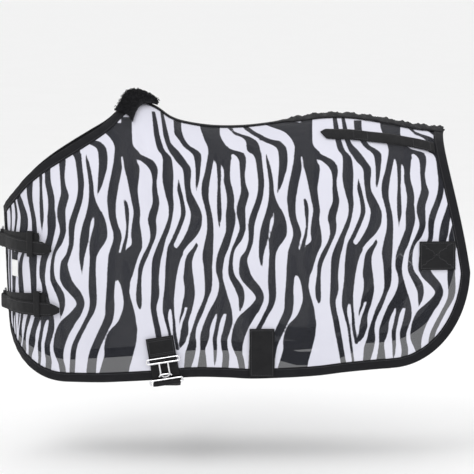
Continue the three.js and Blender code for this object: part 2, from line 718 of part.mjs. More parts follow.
const strapStart = claspPoint(0, END_Y - 2.3, -5.6);
const strapNext = claspPoint(0, END_Y - 2.3, -14);
const STRAP_X = 66;
const STRAP_Z = -522;
const farUp = [-38, -30, -20, -10, 0, 10, 20, 30, 40, 45].map(
  (y) => flip(onSide(STRAP_X, -470 + y * 0.99 - 1, 5.6)),
);
farUp[0] = flip(onSide(STRAP_X, -502.4, 5.6)).add(V(0, 0, -3));
const strapPath = [
  strapStart, strapNext, V(67, -132, -515.5), V(66.4, -118, -519.5), V(STRAP_X, -104, STRAP_Z),
  V(STRAP_X, 104, STRAP_Z),
  V(STRAP_X, 124, -519.5), V(STRAP_X, 146, -514.5), V(STRAP_X, 158, -511.3), V(STRAP_X, 164.4, -508.6),
  ...farUp,
];
// It starts square to the clasp and ends square to the far side.
const strapAcross = (i) => {
  if (i < 4) return claspAlong.clone().lerp(V(1, 0, 0), Math.max(i - 1, 0) / 3);
  return V(1, i < 7 ? 0 : 0.046, 0);
};
add("surcingle_strap", ribbon(strapPath, strapAcross, 50, 2), "webbing");
const farPatch = sidePatch(STRAP_X - 27, STRAP_X + 27, -478, -425, 7.2, 9);
add("far_surcingle_patch", slab((a, b, k) => flip(farPatch(a, b, k)), 3, 4), "webbing");

// A moulded slider: end bars on one face of the strap, the middle bar on the other.
function slider(width, r, length) {
  const inner = width / 2 + 1.1;
  const lift = 1 + 0.4 + r;
  const rail = 3;
  return [
    box(rail, length, 2 * (lift + r), inner + rail / 2, 0, 0),
    box(rail, length, 2 * (lift + r), -inner - rail / 2, 0, 0),
    rod(r, 2 * inner + 2, "x", 0, length / 2 - r, lift, 12),
    rod(r, 2 * inner + 2, "x", 0, r - length / 2, lift, 12),
    rod(r, 2 * inner + 2, "x", 0, 0, -lift, 12),
  ];
}
const SLIDER_Y = 45;
const bellySlider = slider(50, 1.5, 24).map((g) => g.translate(STRAP_X, SLIDER_Y, STRAP_Z));
add("surcingle_slider", shape(bellySlider), "plastic");

// ---------- tail strap, lying forward on the rump ----------
const TAIL_LINE = [
  [553.5, -91.4], [543, -88.5], [529, -85], [505, -80], [480, -76], [442, -71], [403, -67], [366, -65.5],
  [357, -65.2], [347, -63],
];
const tailUV = TAIL_LINE.map(([x, z]) => sideUV(x, z));
const tailEven = resample(tailUV, 18);
add("tail_strap", slab((a, b, k) => {
  const i = Math.round(a * 18);
  const [u, v] = tailEven[i];
  const w = i === 18 ? 2 : i === 17 ? 22 : WEB;
  const dv = ((b - 0.5) * w) / slopes(u, v)[1].length();
  return skin(u, v + dv, k ? 5.5 : 3.5);
}, 18, 2), "webbing");

// ---------- leg straps inside each side ----------
const LEG_RING = sideUV(548, -282);
const ringIn = normalAt(...LEG_RING).negate();
const legAt = skin(...LEG_RING, -15);
const legStrapFrom = V(430, -149, -421);
const legDown = legStrapFrom.clone().sub(legAt).normalize();
ringIn.addScaledVector(legDown, -legDown.dot(ringIn)).normalize();
const legSide = ringIn.clone().cross(legDown);
// Local x runs down the strap, z runs in toward the horse.
const legFrame = new THREE.Matrix4().makeBasis(legDown, legSide, ringIn).setPosition(legAt);
const SNAP_Y = 9; // half the gap of the snap's hook
const DRING_R = 16;

const EYE_X = 56; // bar of the snap's eye

const mirrored = (side, g) => (side === "near" ? g : fromSolid(solid(g).mirror([0, 1, 0])));

function legParts(side) {
  const place = (g) => mirrored(side, g.applyMatrix4(legFrame));
  // Webbing sewn inside the panel, with a loop round the straight bar of the D-ring.
  const near = (x, y, z) => V(x, y, z).applyMatrix4(legFrame);
  const base = [
    onSide(577, -248, -2.4), onSide(562, -266, -2.8), near(-9, 0, -8.6), near(-3.2, 0, -4.2),
    near(-0.8, 0, -2.9),
  ];
  const loopOut = rod(3.9, WEB, "y", 0, 0, 0, 16).applyMatrix4(legFrame);
  const loopIn = rod(1.9, 2 * WEB, "y", 0, 0, 0, 16).applyMatrix4(legFrame);
  const sewn = shape([ribbon(base, () => legSide, WEB, 2), loopOut], [loopIn]);
  add(`${side}_leg_dring_loop`, mirrored(side, sewn), "webbing");

  const d = [];
  for (let i = 0; i <= 10; i++) {
    const a = -Math.PI / 2 + (Math.PI * i) / 10;
    d.push(V(2 + (DRING_R - 2) * Math.cos(a), DRING_R * Math.sin(a), 0));
  }
  d.push(V(0, DRING_R - 0.8, 0), V(0, -DRING_R + 0.8, 0));
  add(`${side}_leg_dring`, place(bar(d, V(0, 0, 1), WIRE, true, 10)), "metal");

  // Snap: an eye for the webbing, a body and a hook round the D-ring.
  const hook = [V(38, 0, -SNAP_Y), V(18, 0, -SNAP_Y)];
  for (let i = 1; i < 8; i++) {
    const a = (Math.PI * i) / 8;
    hook.push(V(18 - 9.5 * Math.sin(a), 0, -SNAP_Y * Math.cos(a)));
  }
  hook.push(V(18, 0, SNAP_Y), V(21, 0, SNAP_Y));
  const eye = roundedLoop(12, 31, 2.6, 50, 0, 3);
  const gateSlot = solid(box(8, 3.8, 6.4, 37.2, 0, SNAP_Y));
  const bodyCut = fromSolid(solid(box(5, 9, 23, 38, 0, 0)).subtract(gateSlot));
  add(`${side}_leg_snap`, place(shape([
    bodyCut,
    bar(hook, V(0, 1, 0), 2, false, 8),
    rod(3.2, 7, "x", 42, 0, 0, 12),
    bar(eye, V(0, 0, 1), WIRE, true, 8),
    rod(1, 8, "y", 37, 0, SNAP_Y, 10),
  ])), "metal");
  const gateBar = bar([V(22.9, 0, SNAP_Y), V(36, 0, SNAP_Y)], V(0, 1, 0), 1.5, false, 8);
  add(`${side}_leg_snap_gate`, place(shape(
    [gateBar, rod(2.3, 3, "y", 37, 0, SNAP_Y, 14)],
    [rod(1.3, 20, "y", 37, 0, SNAP_Y, 12)],
  )), "metal");

  // The strap: straight above the slider, then a slack curve to the patch near the hem.
  const inLeg = (x) => V(x, 0, 0).applyMatrix4(legFrame);
  const path = [
    inLeg(EYE_X + 2.3), inLeg(100), inLeg(155), inLeg(172), onSide(418, -431, -20), onSide(396, -447, -15),
    onSide(368, -458, -12), onSide(336, -466, -10.5), onSide(304, -466, -9.5), onSide(276, -458, -9),
    onSide(255, -446, -8), onSide(240, -434, -6.5), onSide(230, -425, -5.5),
  ];
  const acrossAt = (i) => {
    if (i < 3) return legSide;
    const t = path[Math.min(i + 1, path.length - 1)].clone().sub(path[i - 1]);
    return V(-t.z, 0, t.x).normalize().multiplyScalar(legSide.dot(V(-t.z, 0, t.x)) < 0 ? -1 : 1);
  };
  const eyeLoop = rod(LOOP_OUT, WEB, "y", EYE_X, 0, 0, 16).applyMatrix4(legFrame);
  const eyeBore = rod(LOOP_IN, 2 * WEB, "y", EYE_X, 0, 0, 16).applyMatrix4(legFrame);
  const strap = shape([ribbon(path, acrossAt, WEB, 2), eyeLoop], [eyeBore]);
  add(`${side}_leg_strap`, mirrored(side, strap), "webbing");

  const parts = slider(WEB, 1.3, 20).map((g) => g.rotateZ(Math.PI / 2).translate(105, 0, 0));
  add(`${side}_leg_slider`, place(shape(parts)), "plastic");
}
for (const [side] of SIDES) legParts(side);

export default group;
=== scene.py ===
"""Fly sheet for a small horse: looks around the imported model. Metres, +Z up."""
import math
import bmesh
import bpy
import numpy as np
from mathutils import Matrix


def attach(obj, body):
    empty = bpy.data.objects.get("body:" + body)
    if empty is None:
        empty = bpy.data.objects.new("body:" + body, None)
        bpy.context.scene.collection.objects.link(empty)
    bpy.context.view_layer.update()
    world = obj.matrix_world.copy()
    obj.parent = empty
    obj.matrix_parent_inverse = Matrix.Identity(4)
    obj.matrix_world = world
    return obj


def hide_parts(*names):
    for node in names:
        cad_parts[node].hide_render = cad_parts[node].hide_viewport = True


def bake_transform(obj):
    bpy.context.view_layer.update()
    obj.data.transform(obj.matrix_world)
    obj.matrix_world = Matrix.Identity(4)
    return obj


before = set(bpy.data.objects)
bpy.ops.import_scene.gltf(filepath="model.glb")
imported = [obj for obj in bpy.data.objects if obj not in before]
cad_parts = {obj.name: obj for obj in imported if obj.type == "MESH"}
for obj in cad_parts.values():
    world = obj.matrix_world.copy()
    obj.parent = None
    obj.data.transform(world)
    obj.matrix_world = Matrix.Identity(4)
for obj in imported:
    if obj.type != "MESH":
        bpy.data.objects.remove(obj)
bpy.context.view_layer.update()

MM = 0.001
RNG = np.random.default_rng(7)

# ---------- camera and studio ----------
CAMERA = (0.19447, -4.7737, 0.24102)
PITCH = math.radians(84)
LENS = 195.7
FLOOR_Z = -0.66

cam_data = bpy.data.cameras.new("camera")
cam_data.lens = LENS
cam_data.sensor_width = 36
cam = bpy.data.objects.new("camera", cam_data)
cam.location = CAMERA
cam.rotation_euler = (PITCH, 0, 0)
bpy.context.scene.collection.objects.link(cam)
bpy.context.scene.camera = cam
bpy.context.scene.view_settings.view_transform = "Standard"

world = bpy.data.worlds.new("studio")
bpy.context.scene.world = world
world.use_nodes = True
sky = world.node_tree.nodes["Background"]
sky.inputs["Color"].default_value = (1, 1, 1, 1)
sky.inputs["Strength"].default_value = 0.95


AIM = (0.2, 0, -0.3)


def light(name, spot, size, power):
    """A soft square light that looks at the middle of the sheet."""
    data = bpy.data.lights.new(name, "AREA")
    data.size = size
    data.energy = power
    o = bpy.data.objects.new(name, data)
    o.location = spot
    way = np.array(AIM) - np.array(spot)
    flat = math.hypot(way[0], way[1])
    o.rotation_euler = (math.atan2(flat, -way[2]), 0, math.atan2(way[1], way[0]) - math.pi / 2)
    bpy.context.scene.collection.objects.link(o)


light("key", (-1.2, -2.2, 2.2), 1.6, 26)
light("fill", (1.8, -2.4, 0.8), 1.8, 12)
light("back", (0.4, 2.4, 1.8), 1.8, 12)


# ---------- node materials ----------
class Nodes:
    """A short way to build one node material."""

    def __init__(self, name, colour, rough, metal=0.0):
        self.mat = bpy.data.materials.new(name)
        self.mat.use_nodes = True
        self.tree = self.mat.node_tree
        self.shader = self.tree.nodes["Principled BSDF"]
        self.set("Base Color", (*colour, 1))
        self.set("Roughness", rough)
        self.set("Metallic", metal)

    def set(self, socket, value):
        self.shader.inputs[socket].default_value = value

    def node(self, kind, links=None, **values):
        n = self.tree.nodes.new(kind)
        for key, value in values.items():
            setattr(n, key, value)
        for key, source in (links or {}).items():
            self.feed(n.inputs[key], source)
        return n

    def feed(self, socket, source):
        """Link an output to a socket, or set the socket to a plain value."""
        if hasattr(source, "is_output"):
            self.tree.links.new(source, socket)
        else:
            socket.default_value = source

    def link(self, source, socket):
        self.tree.links.new(source, self.shader.inputs[socket])

    def noise(self, scale, detail):
        point = self.node("ShaderNodeTexCoord").outputs["Object"]
        n = self.node("ShaderNodeTexNoise", {"Vector": point, "Scale": scale, "Detail": detail})
        return n.outputs["Fac"]

    def math(self, operation, a, b=0.0):
        return self.node("ShaderNodeMath", {0: a, 1: b}, operation=operation).outputs[0]

    def ramp(self, source, low, high, a, b):
        n = self.node("ShaderNodeMapRange", {"Value": source, "From Min": low, "From Max": high,
                                             "To Min": a, "To Max": b})
        return n.outputs["Result"]

    def mix(self, fac, a, b):
        n = self.node("ShaderNodeMix", data_type="RGBA")
        sockets = {s.identifier: s for s in n.inputs}
        for key, source in (("Factor_Float", fac), ("A_Color", a), ("B_Color", b)):
            self.feed(sockets[key], source)
        return [s for s in n.outputs if s.type == "RGBA"][0]

    def tones(self, fac, a, b):
        """Base colour that runs from a to b."""
        self.link(self.mix(fac, (*a, 1), (*b, 1)), "Base Color")

    def bump(self, height, strength, distance):
        n = self.node("ShaderNodeBump", {"Height": height, "Strength": strength, "Distance": distance})
        self.link(n.outputs[0], "Normal")


def wave(m, uv_axis, pitch):
    """Rounded ribs: a sine of one texture coordinate."""
    uv = m.node("ShaderNodeUVMap", uv_map="UVMap")
    split = m.node("ShaderNodeSeparateXYZ", {0: uv.outputs[0]})
    angle = m.math("MULTIPLY", split.outputs[uv_axis], 2 * math.pi / pitch)
    return m.math("SINE", angle)


def webbing_look(name, colour, rib, rough):
    """Woven tape: ribs across it, finer ones along it, and rib crests painted lighter in patches: a
    painted highlight on the ribs, and worn threads.
    """
    m = Nodes(name, colour, rough)
    ribs = wave(m, "Y", rib)
    fine = wave(m, "X", rib * 0.55)
    both = m.math("MULTIPLY_ADD", fine, 0.35)
    m.tree.links.new(ribs, both.node.inputs[2])
    wear_and_highlight_patches = m.noise(60, 4)
    # Painted highlight: the crests of the ribs are painted lighter, more so in the noisy patches,
    # which also stand for worn threads.
    rib_crest_highlight = m.ramp(both, -1.2, 1.2, 0.0, 0.45)
    tone = m.math("MULTIPLY", rib_crest_highlight, wear_and_highlight_patches)
    worn_and_highlit = tuple(min(1, c * 2.0 + 0.006) for c in colour)
    m.tones(tone, colour, worn_and_highlit)
    m.link(m.ramp(wear_and_highlight_patches, 0.3, 0.7, rough - 0.08, min(1, rough + 0.12)), "Roughness")
    m.set("Specular IOR Level", 0.25)
    m.set("Sheen Weight", 0.02)
    m.bump(both, 0.5, 0.0005)
    return m.mat


def thread_look():
    m = Nodes("stitch_thread", (0.035, 0.035, 0.04), 0.6)
    grain = m.noise(900, 2)
    m.tones(grain, (0.02, 0.02, 0.024), (0.075, 0.075, 0.082))
    m.bump(grain, 0.3, 0.0002)
    return m.mat


def fleece_look():
    m = Nodes("black_fleece", (0.008, 0.008, 0.010), 1.0)
    curls = m.noise(420, 4)
    m.tones(curls, (0.001, 0.001, 0.002), (0.014, 0.014, 0.017))
    m.set("Specular IOR Level", 0.1)
    m.set("Sheen Weight", 0.05)
    m.set("Sheen Roughness", 0.7)
    m.bump(curls, 0.8, 0.0012)
    return m.mat


def metal_look():
    m = Nodes("nickel_plate", (0.80, 0.80, 0.82), 0.2, 1.0)
    smear = m.noise(160, 5)
    m.tones(smear, (0.62, 0.62, 0.65), (0.90, 0.90, 0.91))
    m.link(m.ramp(smear, 0.25, 0.75, 0.12, 0.34), "Roughness")
    m.bump(m.noise(700, 3), 0.08, 0.0002)
    return m.mat


def plastic_look():
    m = Nodes("moulded_plastic", (0.012, 0.012, 0.013), 0.45)
    grain = m.noise(1500, 2)
    m.tones(m.noise(80, 3), (0.008, 0.008, 0.009), (0.022, 0.022, 0.024))
    m.link(m.ramp(grain, 0.3, 0.7, 0.38, 0.55), "Roughness")
    m.bump(grain, 0.25, 0.0001)
    return m.mat


def label_look():
    m = Nodes("care_label_cloth", (0.82, 0.82, 0.80), 0.6)
    weave = wave(m, "X", 0.0006)
    m.tones(m.noise(90, 3), (0.74, 0.74, 0.73), (0.88, 0.88, 0.87))
    m.set("Sheen Weight", 0.2)
    m.bump(weave, 0.2, 0.0001)
    return m.mat


KNIT_PITCH = 0.0021
PRINT_BLUR = 0.0006
# Painted shade: the back faces of the mesh, inside the sheet, are painted dark grey as if in shadow.
INSIDE_SHADE_GREY = (0.10, 0.10, 0.115, 1)


def print_look():
    """Knitted mesh with dark stripes: the stripe attribute is the distance inside a stripe."""
    m = Nodes("zebra_mesh", (0.75, 0.75, 0.8), 0.85)
    stripe = m.node("ShaderNodeAttribute", attribute_name="stripe").outputs["Fac"]
    wobble = m.ramp(m.noise(260, 2), 0.0, 1.0, -PRINT_BLUR, PRINT_BLUR)
    inside = m.math("ADD", stripe, wobble)
    dark = m.ramp(inside, -PRINT_BLUR, PRINT_BLUR, 0.0, 1.0)
    across = wave(m, "X", KNIT_PITCH)
    down = wave(m, "Y", KNIT_PITCH)
    holes = m.math("MULTIPLY", across, down)
    tint = m.noise(14, 3)
    white = m.mix(tint, (0.62, 0.62, 0.70, 1), (0.70, 0.70, 0.775, 1))
    black = m.mix(tint, (0.012, 0.013, 0.018, 1), (0.026, 0.027, 0.033, 1))
    face = m.mix(dark, white, black)
    back = m.node("ShaderNodeNewGeometry").outputs["Backfacing"]
    # Back faces show the print faded, and darkened by painted shade as inside the sheet.
    faded_print_in_shade = m.mix(0.85, face, INSIDE_SHADE_GREY)
    m.link(m.mix(back, face, faded_print_in_shade), "Base Color")
    # The dark stripes show a little of what is behind them, more so in the holes of the knit.
    solid = m.ramp(dark, 0.0, 1.0, 0.97, 0.87)
    grid = m.math("MULTIPLY", holes, m.ramp(dark, 0.0, 1.0, 0.01, 0.09))
    m.link(m.math("SUBTRACT", solid, grid), "Alpha")
    m.set("Specular IOR Level", 0.2)
    m.bump(holes, 0.25, 0.0003)
    return m.mat


WEBBING = webbing_look("black_webbing", (0.007, 0.007, 0.008), 0.0024, 0.72)
BINDING = webbing_look("edge_binding", (0.006, 0.006, 0.008), 0.0013, 0.8)
THREAD = thread_look()
FLEECE = fleece_look()
METAL = metal_look()
PLASTIC = plastic_look()
LABEL = label_look()
PRINT = print_look()


# ---------- the surface the cloth lies on ----------
TOP = np.array([
    [-237, -5, -201], [-228, -33, -187], [-212, -60, -168], [-188, -84, -140],
    [-158, -101, -115], [-122, -111, -91], [-86, -108, -69], [-52, -90, -48],
    [-25, -58, -24], [-4, -16, -4], [15, -0.5, -8], [44, -0.5, -21], [70, -0.5, -39],
    [100, -0.5, -49], [150, -0.5, -56], [205, -0.5, -56], [260, -0.5, -50],
    [310, -0.5, -41], [355, -0.5, -35], [400, -0.5, -35], [440, -0.5, -40],
    [475, -0.5, -46], [505, -0.5, -52], [530, -0.5, -56], [550, -0.5, -58],
    [566, -0.5, -60], [580, -0.5, -62]]) * MM
HEM = np.array([
    [-222, -8, -512], [-215, -38, -512], [-201, -70, -512], [-180, -98, -512],
    [-150, -119, -512], [-105, -136, -511], [-50, -148, -510], [5, -154, -507],
    [48, -158, -504], [78, -160, -501], [100, -161, -499], [122, -162, -498],
    [150, -163, -498], [180, -163, -499], [220, -163, -501], [262, -163, -500],
    [305, -163, -498], [345, -163, -495], [385, -162, -490], [425, -161, -486],
    [462, -160, -483], [498, -158, -482], [530, -156, -482], [560, -154, -483],
    [585, -152, -484], [605, -150, -485], [622, -148, -486]]) * MM
LEAVE = np.array([
    [0, 4, 0, -69], [3, -6, -25, -110], [5, 0, -35, -120], [8, 0, -75, -38],
    [10, 0, -125, -4], [15, 5, -155, -4], [20, 0, -150, -2], [24, -18, -148, -2],
    [26, -35, -150, 0]], float)
ARRIVE = np.array([
    [0, -9, 4, 110], [3, -8, -25, 130], [5, -5, -34, 141], [8, -30, -22, 250],
    [10, -30, -22, 288], [15, -22, -19, 245], [20, -7, -18, 235], [24, 12, -16, 200],
    [26, 23, -12, 186]], float)
STATIONS = len(TOP) - 1
SPINE_GAP = 0.3 * MM


def along_rows(rows, x):
    """Catmull-Rom curve through rows, read at x = 0, 1, 2 ... and between."""
    last = len(rows) - 1
    i = np.clip(np.floor(x).astype(int), 0, last - 1)
    ext = np.vstack([2 * rows[0] - rows[1], rows, 2 * rows[-1] - rows[-2]])
    a, b, c, d = ext[i], ext[i + 1], ext[i + 2], ext[i + 3]
    t = (x - i)[:, None]
    return 0.5 * (2 * b + (c - a) * t + (2 * a - 5 * b + 4 * c - d) * t * t
                  + (3 * b - a - 3 * c + d) * t ** 3)


def along_keys(keys, x):
    """Values between keyed stations, eased half way towards an S curve."""
    i = np.clip(np.searchsorted(keys[:, 0], x, side="left") - 1, 0, len(keys) - 2)
    t = (x - keys[i, 0]) / (keys[i + 1, 0] - keys[i, 0])
    soft = 0.5 * t + 0.5 * t * t * (3 - 2 * t)
    return (keys[i, 1:] + (keys[i + 1, 1:] - keys[i, 1:]) * soft[:, None]) * MM


def surf(u, v):
    """Near side of the body surface: u from chest to tail, v from the top to the hem."""
    u, v = np.broadcast_arrays(np.asarray(u, float), np.asarray(v, float))
    shape = u.shape
    x = u.ravel() * STATIONS
    t = v.ravel()[:, None]
    p0 = along_rows(TOP, x)
    p0[:, 1] = np.minimum(p0[:, 1], -0.5 * MM)
    p3 = along_rows(HEM, x)
    p1 = p0 + along_keys(LEAVE, x)
    p2 = p3 + along_keys(ARRIVE, x)
    w = 1 - t
    p = w ** 3 * p0 + 3 * w * w * t * p1 + 3 * w * t * t * p2 + t ** 3 * p3
    return p.reshape(shape + (3,))


SLOPE_STEP = 0.002
SETTLE_ROUNDS = 8
SEEK_COUNT = 160


def slopes(u, v):
    """How the surface runs on along u and along v."""
    u, v = np.broadcast_arrays(np.asarray(u, float), np.asarray(v, float))
    ua, ub = np.clip(u - SLOPE_STEP, 0, 1), np.clip(u + SLOPE_STEP, 0, 1)
    va, vb = np.clip(v - SLOPE_STEP, 0, 1), np.clip(v + SLOPE_STEP, 0, 1)
    su = (surf(ub, v) - surf(ua, v)) / (ub - ua)[..., None]
    sv = (surf(u, vb) - surf(u, va)) / (vb - va)[..., None]
    return su, sv


def unit(a):
    return a / np.maximum(np.linalg.norm(a, axis=-1, keepdims=True), 1e-12)


def normal_at(u, v):
    su, sv = slopes(u, v)
    return unit(np.cross(sv, su))


def skin(u, v, off):
    off = np.asarray(off, float)
    p = surf(u, v) + normal_at(u, v) * off[..., None]
    p[..., 1] = np.minimum(p[..., 1], -SPINE_GAP)
    return p


def settle(point, u, v):
    """Surface place nearest to a point in space, from a first guess that is close."""
    for _ in range(SETTLE_ROUNDS):
        su, sv = slopes(u, v)
        r = point - surf(u, v)
        a, b, c = (su * su).sum(-1), (su * sv).sum(-1), (sv * sv).sum(-1)
        p, q = (su * r).sum(-1), (sv * r).sum(-1)
        det = a * c - b * b
        u = np.clip(u + (p * c - q * b) / det, 0, 1)
        v = np.clip(v + (q * a - p * b) / det, 0, 1)
    return u, v


SEEK_U, SEEK_V = np.meshgrid(*[np.linspace(0, 1, SEEK_COUNT)] * 2, indexing="ij")
SEEK = surf(SEEK_U, SEEK_V)


def side_uv(x, z):
    """Place on the near side seen at (x, z), in millimetres, from the side."""
    x, z = np.broadcast_arrays(np.asarray(x, float) * MM, np.asarray(z, float) * MM)
    flat_x, flat_z = x.ravel(), z.ravel()
    d = (SEEK[..., 0].ravel()[None] - flat_x[:, None]) ** 2
    d = d + (SEEK[..., 2].ravel()[None] - flat_z[:, None]) ** 2
    near = d.argmin(1)
    u, v = SEEK_U.ravel()[near].copy(), SEEK_V.ravel()[near].copy()
    for _ in range(SETTLE_ROUNDS):
        su, sv = slopes(u, v)
        r = np.stack([flat_x, flat_z], -1) - surf(u, v)[:, [0, 2]]
        det = su[:, 0] * sv[:, 2] - su[:, 2] * sv[:, 0]
        u = np.clip(u + (r[:, 0] * sv[:, 2] - r[:, 1] * sv[:, 0]) / det, 0, 1)
        v = np.clip(v + (su[:, 0] * r[:, 1] - su[:, 2] * r[:, 0]) / det, 0, 1)
    return u.reshape(x.shape), v.reshape(x.shape)


def mirror(p):
    return p * np.array([1, -1, 1])


def laid(u, v, off, far=False):
    """Points at a height over the surface, in millimetres, and their normals."""
    p = skin(u, v, np.broadcast_to(np.asarray(off, float) * MM, u.shape))
    n = normal_at(u, v)
    return (mirror(p), mirror(n)) if far else (p, n)


# ---------- meshes ----------
def make(name, points, faces, look, uvs=None, closed=True):
    """A smooth mesh object; the faces of a closed one are turned outwards."""
    mesh = bpy.data.meshes.new(name)
    mesh.from_pydata([tuple(p) for p in points], [], faces)
    mesh.materials.append(look)
    if uvs is not None:
        layer = mesh.uv_layers.new(name="UVMap")
        index = np.zeros(len(mesh.loops), int)
        mesh.loops.foreach_get("vertex_index", index)
        layer.data.foreach_set("uv", np.asarray(uvs, float)[index].ravel())
    if closed:
        bm = bmesh.new()
        bm.from_mesh(mesh)
        bmesh.ops.recalc_face_normals(bm, faces=bm.faces)
        bm.to_mesh(mesh)
        bm.free()
    mesh.polygons.foreach_set("use_smooth", [True] * len(mesh.polygons))
    mesh.update()
    o = bpy.data.objects.new(name, mesh)
    bpy.context.scene.collection.objects.link(o)
    return o


def grid_faces(n, m, start=0, turned=False):
    """Quads of a grid whose points run n along and m across."""
    i, j = np.meshgrid(np.arange(n - 1), np.arange(m - 1), indexing="ij")
    a = (start + i * m + j).ravel()
    quads = np.stack([a, a + m, a + m + 1, a + 1], -1)
    return (quads[:, ::-1] if turned else quads).tolist()


def shell_faces(n, m):
    """Faces of a closed slab: an outer grid, then an inner grid of the same size."""
    k = n * m
    faces = grid_faces(n, m) + grid_faces(n, m, k, True)
    for i in range(n - 1):
        a, b = i * m, (i + 1) * m
        faces.append([a, k + a, k + b, b])
        faces.append([a + m - 1, b + m - 1, k + b + m - 1, k + a + m - 1])
    for j in range(m - 1):
        e = (n - 1) * m + j
        faces.append([j, j + 1, k + j + 1, k + j])
        faces.append([e, k + e, k + e + 1, e + 1])
    return faces


def run_along(p):
    """Distance along a line of points from its start."""
    return np.concatenate([[0], np.cumsum(np.linalg.norm(np.diff(p, axis=0), axis=1))])


def at_run(at, run, rows):
    """The rows read at the distances in at."""
    return np.stack([np.interp(at, run, column) for column in np.asarray(rows, float).T], -1)


def band(name, mid, normal, half, look):
    """A closed strap: mid-surface rows (n along, m across) with a half thickness at each point."""
    n, m = mid.shape[:2]
    half = np.broadcast_to(half, (n, m))[..., None]
    outer = (mid + normal * half).reshape(-1, 3)
    inner = (mid - normal * half).reshape(-1, 3)
    points = np.vstack([outer, inner])
    step = np.linalg.norm(np.diff(mid, axis=0), axis=-1).mean(1)
    along = np.concatenate([[0], np.cumsum(step)])
    wide = np.linalg.norm(np.diff(mid, axis=1), axis=-1).mean(0)
    across = np.concatenate([[0], np.cumsum(wide)])
    uv = np.stack(np.meshgrid(across, along), -1).reshape(-1, 2)
    return make(name, points, shell_faces(n, m), look, np.vstack([uv, uv]))


def rounded(m, thick):
    """Half thickness across a strap with rounded selvedges."""
    s = np.linspace(-1, 1, m)
    return 0.5 * thick * MM * (0.25 + 0.75 * np.sqrt(1 - np.abs(s) ** 10))


def smooth_path(points, step):
    """Catmull-Rom curve through points, evenly spaced."""
    p = np.asarray(points, float)
    fine = along_rows(p, np.linspace(0, len(p) - 1, 24 * len(p)))
    run = run_along(fine)
    count = max(2, int(round(run[-1] / step)) + 1)
    return at_run(np.linspace(0, run[-1], count), run, fine)


def ribbon(name, path, across, width, thick, step, m):
    """Flat webbing along a path; across gives its width direction at even steps of the way."""
    line = smooth_path(path, step * MM)
    side = at_run(np.linspace(0, 1, len(line)), np.linspace(0, 1, len(across)), across)
    along = unit(np.gradient(line, axis=0))
    side = unit(side - along * (side * along).sum(-1, keepdims=True))
    reach = width * MM / 2 * np.linspace(-1, 1, m)
    mid = line[:, None] + side[:, None] * reach[:, None]
    normal = np.broadcast_to(np.cross(along, side)[:, None], mid.shape)
    return band(name, mid, normal, rounded(m, thick), WEBBING)


def surface_band(name, u, v, off, thick, look, far=False):
    """Webbing that lies on the surface: u, v grids and the height of its middle in mm."""
    mid, normal = laid(u, v, off, far)
    return band(name, mid, normal, rounded(u.shape[1], thick), look)


def box_grid(x0, x1, z0, z1, n, m):
    """u, v grid of an upright patch seen from the side, rows from top to bottom."""
    z, x = np.meshgrid(np.linspace(z1, z0, n), np.linspace(x0, x1, m), indexing="ij")
    return side_uv(x, z)


STITCH_PITCH = 3.4 * MM
STITCH_LONG = 1.25 * MM
STITCH_THICK = 0.42 * MM
STITCH_SIDES = 6
STITCH_PROFILE = ((-1.0, 0.35), (-0.55, 0.95), (0.55, 0.95), (1.0, 0.35))


def stitches(name, lines):
    """Thread along lines of (points, normals): one small rounded bar per stitch."""
    points, faces = [], []
    k = STITCH_SIDES
    ring = [(math.cos(a), math.sin(a)) for a in np.arange(k) * 2 * math.pi / k]
    for line, normal in lines:
        run = run_along(line)
        at = np.arange(STITCH_PITCH / 2, run[-1], STITCH_PITCH)
        centre = at_run(at, run, line)
        way = unit(at_run(at + 1e-4, run, line) - centre + 1e-9)
        up = unit(at_run(at, run, normal))
        for c, w, n, s in zip(centre, way, up, np.cross(way, up)):
            start = len(points)
            for t, r in STITCH_PROFILE:
                for a, b in ring:
                    points.append(c + w * t * STITCH_LONG + (s * a + n * b) * r * STITCH_THICK)
            for a in range(start, len(points) - k, k):
                for j in range(k):
                    q = (j + 1) % k
                    faces.append([a + j, a + q, a + k + q, a + k + j])
            faces.append([start + j for j in reversed(range(k))])
            faces.append([len(points) - k + j for j in range(k)])
    return make(name, points, faces, THREAD)


def place(piece, body, slot, *nodes):
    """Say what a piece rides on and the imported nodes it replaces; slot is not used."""
    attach(piece, body)
    if nodes:
        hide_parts(*nodes)


